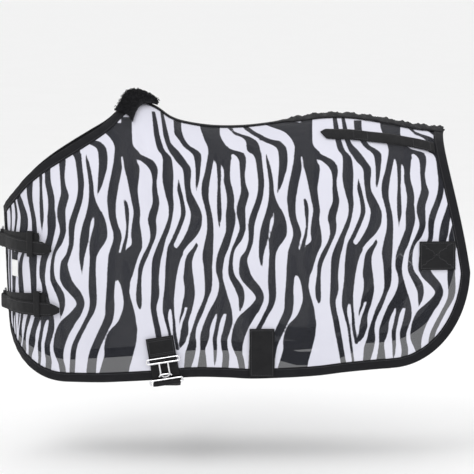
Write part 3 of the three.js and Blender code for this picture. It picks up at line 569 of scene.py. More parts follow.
# ---------- the zebra print ----------
# One repeat of the print, drawn flat in millimetres: dark strokes as height, left edge, right edge.
# Each repeat lies REPEAT further on, and its lower part REPEAT_RISE higher.
REPEAT = 324
REPEAT_RISE = 11
OUTSIDE = -20.0
STROKES = [
    [(-30, -14, 6), (-60, -14, 6), (-80, -14, 8), (-94, -12, 20), (-100, -12, 14), (-110, -10, 15),
     (-120, -9, 19.5), (-140, -4, 18), (-160, 0, 15.5), (-180, 4, 17.5), (-200, 7.5, 20),
     (-220, 5, 19), (-240, 3, 22), (-258, 4, 23.5), (-268, -6, 22), (-280, -10, 16.5),
     (-300, -10, 10), (-312, -10, 7)],
    [(-312, -22, 7), (-325, -16, 2), (-340, -12, -0.5), (-355, -11, 2), (-370, -11, 6),
     (-385, -15, 10), (-400, -22, 12), (-415, -36, 14), (-430, -43, 12), (-445, -46, 8),
     (-460, -46, 4), (-475, -50, 0), (-495, -56, -4)],
    [(-90, 8, 14), (-96, 8, 22), (-100, 10, 30), (-104, 12, 38), (-108, 22, 44), (-114, 30, 48.5),
     (-120, 35.5, 51), (-130, 40.5, 52), (-145, 42.5, 50), (-160, 42, 51), (-180, 43, 54.5),
     (-190, 41, 54), (-200, 37, 52), (-215, 34, 49), (-230, 37, 50), (-245, 38, 48),
     (-260, 34, 42), (-280, 23.6, 33.7), (-300, 16.4, 25.3), (-320, 14.9, 22), (-345, 12, 22),
     (-362, 12.5, 22.4), (-372, 15.5, 21.5), (-378, 18.5, 19.5)],
    [(-20, 41, 47), (-40, 43, 51.5), (-60, 45, 55), (-75, 48, 59), (-88, 52, 64), (-96, 58, 71),
     (-104, 60.6, 76.5), (-120, 60.6, 79), (-135, 60, 80), (-150, 61.4, 79.5), (-170, 66, 79.4),
     (-190, 71, 80.6), (-210, 70.5, 78), (-230, 63.8, 73.4), (-250, 55.4, 66), (-270, 47, 61.4),
     (-290, 41, 56.6), (-320, 39.7, 53.4), (-350, 39, 54), (-372, 38, 49), (-390, 40.4, 51),
     (-410, 44.5, 55.4), (-430, 48, 59), (-460, 54, 64), (-495, 60, 70)],
    [(-20, 56, 61), (-40, 59, 66), (-60, 61.5, 71), (-76, 66, 76), (-90, 72, 89), (-100, 79, 97),
     (-110, 86, 104), (-120, 95, 110.7), (-130, 98, 112), (-150, 99.5, 110.7), (-165, 101.5, 113),
     (-180, 104, 120.8), (-200, 110.7, 130), (-215, 110, 131.5), (-230, 106, 128.8),
     (-245, 99, 120), (-260, 90, 106), (-272, 80, 97)],
    [(-142, 88.6, 89.6), (-160, 87, 94.3), (-180, 91.4, 99), (-198, 93.4, 102), (-210, 92, 100.6),
     (-230, 84.7, 93.4), (-250, 75.8, 84.7), (-262, 70, 81), (-272, 68, 97), (-285, 66.5, 93),
     (-300, 65, 88.6), (-320, 64.5, 84.7), (-340, 63, 82.3), (-360, 60.6, 80.6), (-375, 60, 80.8)],
    [(-372, 60, 75), (-380, 60, 71), (-390, 62, 69.8), (-400, 64.5, 71), (-420, 69.8, 75),
     (-450, 74, 79), (-490, 80, 84)],
    [(-372, 73, 81), (-380, 75.8, 81), (-400, 78, 83), (-420, 78.5, 84.7), (-450, 84, 90)],
    [(-36, 80, 94), (-50, 81, 94.6), (-60, 82.5, 96.8), (-70, 90, 101), (-80, 96.8, 109),
     (-86, 103, 119), (-92, 111, 127), (-100, 116.7, 130.4), (-120, 119.6, 129),
     (-140, 120, 126.8), (-152, 120, 124.2), (-161, 121.4, 121.8)],
    [(-40, 127, 164), (-50, 128.8, 163.7), (-60, 132.5, 164), (-70, 136, 168), (-80, 140.8, 175),
     (-88, 142.5, 184), (-94, 142.5, 190), (-97, 142.3, 184), (-104, 141, 183.6)],
    [(-97, 142.2, 154), (-104, 141, 153), (-115, 139, 150.8), (-130, 136, 148), (-145, 132, 145.5),
     (-160, 130.4, 143.7), (-175, 132, 143.6), (-190, 136, 146.3), (-210, 140, 150.4),
     (-235, 140, 152.2), (-260, 135, 151.6), (-280, 132, 151), (-300, 134.3, 149.7),
     (-325, 136, 149.8), (-342, 136.5, 148), (-355, 134.5, 143), (-370, 128.8, 137.7),
     (-385, 122, 132), (-400, 117, 125), (-412, 113, 121), (-425, 109, 119.6), (-440, 106, 121),
     (-455, 101, 119), (-470, 99.4, 115.5), (-492, 98, 108)],
    [(-97, 153.5, 184), (-106, 155, 183.4), (-113, 157, 168), (-120, 158, 165.6),
     (-135, 159, 165.8), (-155, 159.3, 165), (-180, 158.4, 166), (-205, 159, 167),
     (-220, 160.8, 164.6), (-232, 162.3, 162.7)],
    [(-104, 164, 183.6), (-113, 166.5, 183), (-120, 169.7, 182.4), (-130, 171, 182),
     (-145, 171, 183), (-160, 174, 187), (-175, 176.2, 189.5), (-190, 176, 189.4),
     (-205, 174.2, 191), (-220, 174.5, 191.3), (-235, 174, 188), (-250, 169, 184),
     (-265, 163.5, 179.5), (-280, 158.4, 173), (-295, 156.4, 170), (-308, 156.6, 168.5),
     (-322, 160.8, 169.5), (-335, 162, 173), (-350, 159, 177), (-362, 154, 181),
     (-375, 146.5, 184.5), (-384, 142, 186)],
    [(-380, 143.7, 158.3), (-390, 139.6, 154), (-400, 135.5, 149.2), (-412, 131.2, 145.6),
     (-425, 127.8, 144.6), (-437, 127.6, 141.5), (-450, 127.6, 137), (-465, 125.5, 138.4),
     (-492, 121, 141)],
    [(-380, 158, 173), (-390, 158, 167.8), (-400, 156.4, 164), (-415, 153.4, 161),
     (-430, 150.4, 158.4), (-450, 151.6, 158.4), (-468, 152.2, 157), (-479, 153.6, 154.4)],
    [(-378, 172, 184.6), (-385, 175, 186), (-400, 172.6, 186.5), (-415, 169, 182.5),
     (-430, 165.3, 177.6), (-445, 166, 177.6), (-460, 168.5, 180.5), (-475, 167.5, 179.8),
     (-495, 165, 178)],
    [(-84, 168, 178), (-88, 174, 188), (-91, 180, 199), (-94, 185, 206.5), (-97, 190, 208),
     (-101, 194.5, 210), (-108, 198, 210.8), (-120, 199.3, 210), (-132, 200, 208.7),
     (-148, 201, 210.2), (-160, 201.7, 214), (-168, 200.5, 216), (-180, 196.9, 213),
     (-192, 194.2, 209.8), (-205, 194.2, 209.7), (-220, 198, 210.3), (-232, 198.6, 209.7),
     (-250, 192, 203.4), (-265, 185.5, 192.5), (-280, 181.2, 188), (-300, 178.8, 187.2),
     (-315, 179.5, 191), (-328, 185, 200), (-340, 191, 206.5), (-355, 196.8, 208.2),
     (-368, 197.7, 206), (-377, 198.6, 202), (-382, 199, 199.4)],
    [(-50, 178, 187), (-55, 184, 190), (-60.6, 190, 204), (-64, 198.6, 215), (-68, 206, 223),
     (-74, 210.6, 231), (-81, 211.3, 234.4), (-88, 212.5, 236.2), (-92, 215.4, 237.2),
     (-97.5, 223.8, 238.8), (-107, 228, 239.7), (-120, 229.8, 241), (-133, 231.5, 242.5),
     (-147, 232.5, 243.6), (-161, 232, 242.5), (-173, 229.8, 241), (-188, 225, 237),
     (-202, 219.5, 232), (-214, 216, 228.5), (-226, 214.9, 225.8), (-248, 215.4, 224.3),
     (-258, 213.5, 222.5), (-270, 209.6, 218.5), (-281, 201.5, 214.5), (-290, 199.2, 213.2),
     (-308, 198, 218), (-317, 200, 222), (-326, 205, 228.6), (-335, 213, 235.9),
     (-345, 222.6, 241.2), (-352, 227.4, 243), (-358, 228, 243), (-365, 223, 241),
     (-372, 216.6, 238), (-380, 208, 234), (-388, 199, 228), (-397, 193, 223),
     (-410, 187.7, 215.5), (-425, 184.8, 209.5), (-437, 184, 206), (-447, 186.5, 204.4),
     (-458, 191.5, 204.5), (-470, 195.5, 207.5), (-495, 200, 211)],
    [(-97, 246.7, 247.7), (-110, 247, 252.7), (-128, 249.6, 257), (-147, 252, 260),
     (-163, 252.2, 261.2), (-175, 251.5, 264), (-188, 249.4, 269.6), (-200, 246.5, 277)],
    [(-196, 247.5, 262), (-204, 245.2, 259.4), (-215, 241.5, 255), (-230, 237.3, 252.6),
     (-245, 235, 251), (-262, 234, 246.5), (-278, 234, 242.5), (-292, 236, 241),
     (-304, 238.6, 239.4)],
    [(-196, 259, 275), (-207, 261, 280), (-219, 260.4, 283.4), (-230, 257.4, 284.7),
     (-241, 254.4, 284), (-252, 252.2, 278.4), (-262, 252, 271), (-275, 252.7, 265),
     (-295, 251.6, 263.6), (-320, 250.4, 264.2), (-335, 250.8, 265), (-350, 252.2, 265.3),
     (-362, 251.6, 263.6), (-374, 248, 258.8), (-388, 241, 250.6), (-400, 235, 244.6),
     (-415, 227, 237), (-440, 218, 228), (-495, 214, 224)],
    [(-46, 203, 214), (-53, 210, 223), (-57, 216, 229), (-62, 223, 239), (-67, 232, 248),
     (-70.5, 236, 258.7), (-72.5, 240, 270), (-76, 248, 275.5), (-80, 258, 279.5),
     (-85, 265.5, 283), (-92, 268.6, 284.8), (-100, 269.6, 285.7), (-110, 270, 285.6),
     (-123, 269.6, 284), (-135, 268.6, 280.4), (-147, 268, 276.8), (-158, 267.3, 272),
     (-166, 267, 267.5)],
    [(-36, 240, 288), (-44, 247, 322), (-50, 262, 321), (-56, 278, 321), (-63, 287, 321),
     (-72, 294, 324), (-82, 298, 329), (-90, 298, 326), (-96, 297.5, 318), (-101, 297.2, 309.3)],
    [(-96, 297.5, 312), (-101, 297.2, 309.4), (-110, 296, 310.3), (-120, 294, 311),
     (-133, 291.5, 308.8), (-147, 288.3, 305.7), (-161, 285.9, 303.2), (-176, 284.5, 300.8),
     (-190, 285.9, 300), (-205, 287.6, 300.8), (-218, 291, 304), (-230, 294.6, 308.6),
     (-241, 295.5, 310.5), (-250, 293.6, 308.6), (-260, 290, 306.6), (-268, 287.4, 306),
     (-274, 286.2, 316), (-280, 285.6, 327), (-300, 284, 328), (-314, 283.6, 327)],
    [(-312, 283.6, 300.6), (-318, 283.5, 298.4), (-330, 282.6, 297.2), (-343, 281.6, 296.5),
     (-360, 280.4, 297.2), (-376, 279.7, 295.8), (-388, 275.6, 293), (-400, 270, 287),
     (-412, 264.5, 281.5), (-427, 258, 274.4), (-442, 252, 268.4), (-459, 248, 264.7),
     (-495, 244, 262)],
    [(-90, 305, 326), (-96, 314, 324), (-100, 317, 324), (-110, 320, 326), (-130, 320.6, 328),
     (-142, 322.5, 330), (-160, 326.5, 332)],
    [(-175, 314.2, 316.8), (-180, 314.4, 320.4), (-190, 315.8, 323), (-202, 316.5, 323.7),
     (-214, 318.2, 323.2), (-226, 318.2, 322.5), (-240, 316, 321.4), (-252, 312.4, 319),
     (-262, 309.6, 317.4), (-272, 306, 317)],
    [(-310, 300.6, 326), (-316, 304.5, 325.6), (-324, 308.4, 325), (-335, 311, 324),
     (-348, 313, 325), (-362, 313.4, 328), (-376, 313, 331), (-388, 309.5, 333),
     (-396, 303.4, 334.5), (-406, 297, 336.5), (-418, 288.8, 337), (-430, 281.6, 335),
     (-442, 278.7, 332), (-459, 278.5, 327.6), (-469, 276.3, 324.5), (-483, 272, 322),
     (-495, 269, 321)],
    [(-255, 121, 121.6), (-260, 118, 124), (-266, 114, 122), (-272, 108.6, 119),
     (-280, 103.5, 116), (-290, 100.6, 113.6), (-305, 99, 114), (-320, 97.5, 116),
     (-335, 99.5, 117.6), (-350, 99, 118.4), (-362, 96.6, 116.6), (-372, 94.6, 114.4)],
    [(-366, 95.8, 104), (-370, 95, 101), (-380, 93.4, 98.7), (-390, 91, 95),
     (-400, 90, 91.4), (-404, 90, 90.4)],
    [(-366, 101, 116), (-370, 105, 114.8), (-380, 103, 112.6), (-390, 99.9, 109),
     (-400, 96.3, 106.6), (-410, 93.9, 106.6), (-420, 92, 106.4), (-430, 91, 103),
     (-438, 89, 100), (-446, 90, 93)],
]
# Light gaps inside the strokes, drawn the same way.
GAPS = [
    [(-415, 307, 308.4), (-421, 303.4, 307.4), (-431, 297.5, 304), (-443, 293.4, 303.2),
     (-456, 292, 300.4), (-468, 290, 299.2), (-480, 285.5, 294), (-495, 282, 290)],
    [(-414, 323.4, 325.6), (-422, 319.2, 322.7), (-432, 313.4, 319), (-443, 311.6, 318.2),
     (-456, 309.7, 317), (-468, 305, 314.4), (-480, 301.8, 312), (-495, 300, 311)],
]


def soft_rows(rows, step=2.0):
    """Smooth curve through drawn rows (height, left, right), from the top down."""
    r = np.array(rows, float)
    n = len(r)
    fine = along_rows(r, np.linspace(0, n - 1, int((r[0, 0] - r[-1, 0]) / step) + 4 * n))
    return fine[np.argsort(fine[:, 0])]


def stroke_field(strokes, x, z):
    """Distance inside the nearest stroke, negative outside, in millimetres."""
    best = np.full(x.shape, OUTSIDE)
    for rows in strokes:
        r = soft_rows(rows)
        left = np.interp(z, r[:, 0], r[:, 1])
        right = np.interp(z, r[:, 0], r[:, 2])
        heights = r[:, 0] + 1e-6 * np.arange(len(r))
        lean = np.interp(z, r[:, 0], np.gradient((r[:, 1] + r[:, 2]) / 2, heights))
        steep = 1 / np.sqrt(1 + np.clip(lean, -4, 4) ** 2)
        side = np.minimum(x - left, right - x) * steep
        ends = np.minimum(r[-1, 0] - z, z - r[0, 0]) + 0.8
        best = np.maximum(best, np.minimum(side, ends))
    return best


def print_field(x, z):
    """Distance inside a dark stripe for cloth at (x, z) millimetres, over all repeats."""
    best = np.full(x.shape, OUTSIDE)
    for k in range(-3, 3):
        lower = np.clip((-100 - z) / 280, 0, 1)
        xs, zs = x - k * REPEAT, z - k * REPEAT_RISE * lower
        dark = stroke_field(STROKES, xs, zs)
        light = stroke_field(GAPS, xs, zs)
        best = np.maximum(best, np.minimum(dark, -light))
    return best


# ---------- panels ----------
WITHERS_U = 9.6 / STATIONS
# The corners are quarter ellipses: middle, radii and which way they point, in millimetres.
FRONT_CORNER = dict(x=-120, z=-400, rx=108, rz=111, way=-1)
REAR_CORNER = dict(x=470, z=-300, rx=146, rz=182, way=1)
PRINT_PLANE_Y = -150
CHEST_TURN_X = -120
PANEL_OFF = 1.3
UNDER_TAPE = 0.012


def corner_arc(c):
    a = np.radians(np.linspace(0, 90, 60))
    return side_uv(c["x"] + c["way"] * c["rx"] * np.cos(a), c["z"] - c["rz"] * np.sin(a))


front_u, front_v = corner_arc(FRONT_CORNER)
rear_u, rear_v = corner_arc(REAR_CORNER)
front_u[0], rear_u[0] = 0, 1
front_v[-1], rear_v[-1] = 1, 1


def hem_v(u):
    """The v of the sheet's lower edge at each u."""
    v = np.ones_like(u)
    f, r = np.argsort(front_u), np.argsort(rear_u)
    v = np.where(u < front_u.max(), np.interp(u, front_u[f], front_v[f]), v)
    return np.where(u > rear_u.min(), np.interp(u, rear_u[r], rear_v[r]), v)


def cloth_folds(p):
    """Small soft folds that a hung mesh keeps, in metres."""
    x, z = p[..., 0], p[..., 2]
    fold = 0.9 * np.sin(17 * x + 9 * z) * np.sin(11 * z - 4 * x)
    fold += 0.6 * np.sin(41 * x - 23 * z + 1.3) * np.exp(-((z + 0.42) / 0.12) ** 2)
    dart = np.exp(-((z + 0.139 - 0.05 * (x - 0.42)) / 0.006) ** 2)
    fold += -1.3 * dart / (1 + np.exp(-(x - 0.43) / 0.012))
    pucker = np.exp(-(((x + 0.118) / 0.012) ** 2 + ((z + 0.385) / 0.02) ** 2))
    return (fold + 2.0 * pucker) * MM


PANEL_COLUMNS = 400
PANEL_ROWS = 240


def panel(name, far):
    """One side's cut of mesh, with its columns closer together towards the ends."""
    t = np.linspace(0, 1, PANEL_COLUMNS)
    ends = 0.5 - 0.5 * np.cos(math.pi * t)
    u = 0.004 + 0.992 * (0.55 * t + 0.45 * ends)
    top = np.where(u < WITHERS_U, UNDER_TAPE, 0.0)
    low = hem_v(u) - UNDER_TAPE
    s = np.linspace(0, 1, PANEL_ROWS)
    v = top[:, None] + (low - top)[:, None] * s
    uu = np.broadcast_to(u[:, None], v.shape)
    base = surf(uu, v)
    lift = cloth_folds(base) * np.clip(np.minimum(s, 1 - s) * 9, 0, 1)
    points = skin(uu, v, PANEL_OFF * MM + lift)
    # The print is drawn flat, on an upright plane seen from the viewing point. In front of
    # CHEST_TURN_X it is unrolled along the cloth instead.
    eye = np.array(CAMERA)
    reach = (PRINT_PLANE_Y * MM - eye[1]) / (base[..., 1] - eye[1])
    flat = (eye + (base - eye) * reach[..., None]) / MM
    x = flat[..., 0].copy()
    step = np.linalg.norm(np.diff(base[..., :2], axis=0), axis=-1) / MM
    for j in range(PANEL_ROWS):
        turn = np.searchsorted(x[:, j], CHEST_TURN_X)
        run = np.cumsum(step[:turn, j][::-1])[::-1]
        x[:turn, j] = x[turn, j] - run
    field = print_field(x.ravel(), flat[..., 2].ravel()) * MM
    if far:
        points = mirror(points)
    faces = grid_faces(PANEL_COLUMNS, PANEL_ROWS, 0, not far)
    uv = np.stack([x.ravel(), flat[..., 2].ravel()], -1) * MM
    o = make(name, points.reshape(-1, 3), faces, PRINT, uv, closed=False)
    layer = o.data.attributes.new("stripe", "FLOAT", "POINT")
    layer.data.foreach_set("value", field.astype(np.float32))
    place(o, "sheet", "mesh", name.replace("mesh_panel", "panel"))
    return o


SIDES = ("near", "far")
panels = {side: panel(f"{side}_mesh_panel", side == "far") for side in SIDES}


# ---------- edge bindings ----------
# Cross-section of the folded tape: distance in from the edge and height, in millimetres.
BIND_STEP = 4
BIND_PROFILE = [(18.2, 0.2), (18, 2.5), (16.6, 3.1), (15.2, 2.75), (13.6, 3.25), (9, 3.45),
                (4, 3.3), (1.2, 2.9), (0, 1.6), (0.2, 0.3), (1.5, -0.6), (5, -0.9), (13, -0.9),
                (17.4, -0.6)]
BIND_STITCH = 15.2


def even(u, v, step):
    """The same line over the surface, with its places a step apart."""
    run = run_along(surf(u, v))
    at = np.linspace(0, run[-1], int(run[-1] / (step * MM)) + 1)
    return np.interp(at, run, u), np.interp(at, run, v)


def trim(name, u, v, turn, far, nodes):
    """A folded tape sewn round an edge: the profile runs from the seam round the fold."""
    u, v = even(u, v, BIND_STEP)
    p = surf(u, v)
    along = unit(np.gradient(p, axis=0))
    inward = np.cross(normal_at(u, v), along) * turn
    rows, uvs = [], []
    run = np.arange(len(u)) * BIND_STEP * MM
    widths = run_along(np.array(BIND_PROFILE)) * MM
    for (s, off), across in zip(BIND_PROFILE, widths):
        ripple = 0.25 * np.sin(run * 260 + s) * (off > 2)
        rows.append(laid(*settle(p + inward * s * MM, u, v), off + ripple, far)[0])
        uvs.append(np.stack([np.full(len(u), across), run], -1))
    seam = laid(*settle(p + inward * BIND_STITCH * MM, u, v), 3.0, far)
    grid = np.stack(rows, 1)
    n, m = grid.shape[:2]
    flip = (turn < 0) != far
    faces = grid_faces(n, m, 0, flip)
    for i in range(n - 1):
        q = [i * m + m - 1, (i + 1) * m + m - 1, (i + 1) * m, i * m]
        faces.append(q[::-1] if flip else q)
    first, last = list(range(m)), [(n - 1) * m + j for j in range(m)]
    faces.append(first[::-1] if flip else first)
    faces.append(last if flip else last[::-1])
    o = make(name, grid.reshape(-1, 3), faces, BINDING, np.stack(uvs, 1).reshape(-1, 2))
    place(o, "sheet", "binding", *nodes)
    thread = stitches(f"{name}_stitching", [seam])
    place(thread, "sheet", "binding")
    return [o, thread]


def side_trims(side):
    """The neck tape, and one tape down the front, along the hem and up the tail edge."""
    far = side == "far"
    neck_u = np.linspace(0.0, WITHERS_U, 80)
    parts = trim(f"{side}_neck_tape", neck_u, np.zeros(80), -1, far, [f"{side}_neck_binding"])
    down = np.linspace(0.004, front_v[0], 60)
    hem_u = np.linspace(front_u[-1], rear_u[-1], 120)
    up_v = np.linspace(rear_v[0], 0.0006, 60)
    edge_u = np.concatenate([np.zeros(59), front_u[:-1], hem_u, rear_u[::-1][1:], np.ones(59)])
    edge_v = np.concatenate([down[:-1], front_v[:-1], np.ones(120), rear_v[::-1][1:], up_v[1:]])
    names = [f"{side}_{e}_binding" for e in ("front", "hem", "tail")]
    return parts + trim(f"{side}_edge_tape", edge_u, edge_v, 1, far, names)


trims = {side: side_trims(side) for side in SIDES}


# ---------- spine band and withers pad ----------
def past(x, start, soft):
    """Soft step from 0 to 1 where x passes start."""
    return 1 / (1 + np.exp(-(x - start) / soft))


def spine_band():
    """Tape along the back: flat in front, wider and crumpled over the rump."""
    u = np.linspace(WITHERS_U - 0.002, 0.992, 230)
    mid = 10
    s = np.linspace(-1, 1, 2 * mid + 1)
    size = np.linalg.norm(slopes(u, np.zeros_like(u))[1], axis=-1)
    ridge_x = surf(u, np.zeros_like(u))[..., 0] / MM
    half = 15 + 22 * past(ridge_x, 290, 6)
    v = np.abs(s)[None] * (half * MM / size)[:, None]
    uu = np.broadcast_to(u[:, None], v.shape)
    x = surf(uu, v)[..., 0] / MM
    rear = past(x, 282, 5)
    crumple = np.sin(x * 0.19 + 2.2 * s) + 0.7 * np.sin(x * 0.43 - 3.1 * s + 1)
    crumple = crumple + 0.5 * np.sin(x * 0.83 + 5 * s)
    lift = 3.6 + rear * (1.7 + 1.3 * crumple) * (1 - s ** 2)
    p, normal = laid(uu, v, np.maximum(lift, 3.3))
    p[:, mid, 1] = 0
    p[:, mid + 1:] = mirror(p[:, mid + 1:])
    normal[:, mid + 1:] = mirror(normal[:, mid + 1:])
    normal[:, mid] = unit(normal[:, mid] * np.array([1, 0, 1]))
    o = band("spine_band", p, normal, rounded(2 * mid + 1, 1.8), BINDING)
    place(o, "sheet", "binding", "spine_tape")


spine_band()

TUFTS = 1500
TUFT_STEPS = 7
TUFT_REACH = 2.4 * MM


def pad_grid(n, m):
    """Withers pad, from side to side over the ridge: its underside, top, normals and roundness."""
    a = np.linspace(0, 1, n)[:, None]
    s = np.linspace(-1, 1, m)[None]
    t = np.abs(s)
    top_front, top_rear, low_front = (np.array([k / STATIONS, 0.0]) for k in (9.55, 11.0, 7.85))
    low_rear = np.array([float(q) for q in side_uv(6, -46)])
    top = top_front + (top_rear - top_front) * a[..., None]
    lower = low_front + (low_rear - low_front) * a[..., None]
    at = top + (lower - top) * t[..., None]
    edge = np.sqrt(np.clip(1 - (2 * a - 1) ** 6, 0, 1)) * np.sqrt(np.clip(1 - t ** 6, 0, 1))
    low = laid(at[..., 0], at[..., 1], 7.0)[0]
    high, normal = laid(at[..., 0], at[..., 1], 8.5 + 8.5 * edge)
    far = np.broadcast_to(s > 0, at.shape[:2])
    for q in (low, high, normal):
        q[far] = mirror(q[far])
    return low, high, normal, edge


def pile_curls(high, normal):
    """Points and faces of small three-sided curls that stand out of the pad."""
    tufts, faces = [], []
    pick = RNG.integers(0, high.shape[:2], (TUFTS, 2))
    for i, j in pick:
        base, up = high[i, j], normal[i, j]
        side = unit(np.cross(up, RNG.normal(size=3)))
        turn = RNG.uniform(0.5, 1.0)
        other = unit(np.cross(up, side))
        for w in range(TUFT_STEPS):
            share = w / (TUFT_STEPS - 1)
            a = share * math.pi * turn * 1.3
            c = base + (up * math.sin(a) + side * (1 - math.cos(a))) * TUFT_REACH
            r = TUFT_REACH / 4 * (1 - 0.6 * share)
            tufts += [c + other * r, c - other * r * 0.5 + up * r, c - other * r * 0.5 - up * r]
            if w:
                b = len(tufts) - 6
                for q in range(3):
                    faces.append([b + q, b + (q + 1) % 3, b + 3 + (q + 1) % 3, b + 3 + q])
    return tufts, faces


def fleece_pad():
    """The pad on the withers, its surface broken by two sizes of curl, and its pile."""
    n, m = 90, 150
    low, high, normal, edge = pad_grid(n, m)
    curls = np.zeros((n, m))
    for size, amount in ((0.0055, 1.5), (0.0028, 0.8)):
        for phase in RNG.uniform(0, 6.28, (3, 3)):
            way = unit(RNG.normal(size=3))
            curls += amount / 2 * np.sin(high @ way * 2 * math.pi / size + phase[0])
    high = high + normal * (curls * MM * np.clip(edge * 2, 0.3, 1))[..., None]
    points = np.vstack([high.reshape(-1, 3), low.reshape(-1, 3)])
    o = make("withers_pad", points, shell_faces(n, m), FLEECE)
    pile = make("withers_pad_pile", *pile_curls(high, normal), FLEECE)
    place(o, "sheet", "fleece", "withers_fleece")
    place(pile, "sheet", "fleece")


fleece_pad()


# ---------- sewn patches ----------
def outline(u, v, inset_rows, inset_cols, off, far=False):
    """The box of a box stitch on a patch grid, with its normals."""
    i0, i1 = inset_rows, u.shape[0] - 1 - inset_rows
    j0, j1 = inset_cols, u.shape[1] - 1 - inset_cols
    path = [(i, j0) for i in range(i0, i1)] + [(i1, j) for j in range(j0, j1)]
    path += [(i, j1) for i in range(i1, i0, -1)] + [(i0, j) for j in range(j1, j0 - 1, -1)]
    idx = tuple(np.array(path).T)
    return laid(u[idx], v[idx], off, far)


def patch(name, side, bounds, off, thick, nodes, cross=False):
    """A sewn square of webbing with a box stitch, and a cross in it where asked."""
    x0, x1, z0, z1 = bounds
    u, v = box_grid(x0, x1, z0, z1, max(9, int((z1 - z0) / 3)), max(9, int((x1 - x0) / 3)))
    far = side == "far"
    place(surface_band(name, u, v, off, thick, WEBBING, far), "sheet", "webbing", *nodes)
    lines = [outline(u, v, 1, 1, off + thick / 2, far)]
    if cross:
        n, m = u.shape
        k = np.linspace(0, 1, 24)
        for a, b in ((0, 1), (1, 0)):
            i, j = 1 + k * (n - 3), 1 + (a + (b - a) * k) * (m - 3)
            cu, cv = u[i.astype(int), j.astype(int)], v[i.astype(int), j.astype(int)]
            lines.append(laid(cu, cv, off + thick / 2, far))
    place(stitches(f"{name}_stitching", lines), "sheet", "webbing")


for side in SIDES:
    patch(f"{side}_rear_patch_webbing", side, (523, 588, -304, -253), 3.9, 2,
          [f"{side}_rear_patch"], True)
    patch(f"{side}_leg_patch_webbing", side, (217, 262, -497, -409), 4.8, 2, [f"{side}_leg_patch"])
patch("far_surcingle_patch_webbing", "far", (39, 93, -478, -425), 8.1, 1.8,
      ["far_surcingle_patch"], True)


def care_label():
    u, v = box_grid(-216, -203, -324, -294, 12, 6)
    curl = 3.3 + 0.5 * np.sin(np.linspace(0, 3, 12))[:, None]
    place(surface_band("care_label_tag", u, v, curl, 0.5, LABEL), "sheet", "label", "care_label")


care_label()


# ---------- chest straps ----------
WEB = 25
WEB_COLUMNS = 9
SEW_X = -150
CHEST_TURN = 0.197
TIP_SHARE = 0.14
# The billet's way from the far side round the front edge: across the chest, then ahead of the edge.
FREE_PATH = [(11, 4.6), (8, 5.0), (5, 6.3), (1.7, 8.1), (-1.7, 9.9), (-5, 11.8), (-8, 13.1),
             (-11, 13.5), (-14, 13.3), (-19, 11.7), (-25, 9.2), (-32, 6.1), (-40, 2.4)]


def v_at(u, z):
    """The v of each u at the height z, in metres."""
    lo, hi = np.zeros_like(u), np.ones_like(u)
    for _ in range(26):
        mid = (lo + hi) / 2
        above = surf(u, mid)[..., 2] > z
        lo, hi = np.where(above, mid, lo), np.where(above, hi, mid)
    return (lo + hi) / 2


def u_of(x, z):
    return float(side_uv(x, z)[0])


def upright(z, width=WEB):
    """Heights across an upright strap, from its top edge down, in metres."""
    return (z + np.linspace(0.5, -0.5, WEB_COLUMNS) * width) * MM


def lying(start, stop, z, end_z, count, off, taper=0.0, far=False):
    """Rows across a strap that lies on the surface between two u, with a pointed end if it tapers."""
    rows = []
    for t in np.linspace(0, 1, count):
        tip = max(0.0, (t - 1 + TIP_SHARE) / TIP_SHARE)
        heights = upright(z + (end_z - z) * t, WEB * (1 - taper * tip ** 1.6))
        u = np.full(WEB_COLUMNS, start + (stop - start) * t)
        rows.append(laid(u, v_at(u, heights), off, far))
    return rows


def hanging(point, n, z):
    """One row across a strap in the air: its middle, its normal and its height."""
    line = np.tile(point, (WEB_COLUMNS, 1))
    line[:, 2] = upright(z)
    return line, np.tile(n, (WEB_COLUMNS, 1))


def stacked(rows):
    return np.stack([r[0] for r in rows]), np.stack([r[1] for r in rows])


def chest_tab(name, edge, frame_z, tab_z, end_x, end_z):
    """The loop that holds the buckle: round the frame's bar and sewn back on the sheet."""
    wrap = []
    heel = edge + np.array([-7.6, 0, 0]) * MM
    heel[1] = -11 * MM
    out = np.array([-math.cos(CHEST_TURN), -math.sin(CHEST_TURN), 0])
    ahead = np.array([-math.sin(CHEST_TURN), math.cos(CHEST_TURN), 0])
    for a in np.linspace(-math.pi / 2, math.pi / 2, 9):
        n = out * math.sin(a) + ahead * math.cos(a)
        wrap.append(hanging(heel + n * 3.0 * MM, n, tab_z))
    start, stop = u_of(edge[0] / MM + 2.5, frame_z), u_of(end_x, end_z)
    mid, normal = stacked(wrap + lying(start, stop, tab_z, end_z, 30, 5.85))
    thick = np.concatenate([np.full(9, 1.0), np.linspace(1.6, 3.5, 5), np.full(25, 3.5)])
    half = rounded(WEB_COLUMNS, 1.0)[None] * thick[:, None]
    tab = band(f"{name}_tab_webbing", mid, normal, half, WEBBING)
    place(tab, "sheet", "webbing", f"{name}_buckle_tab")


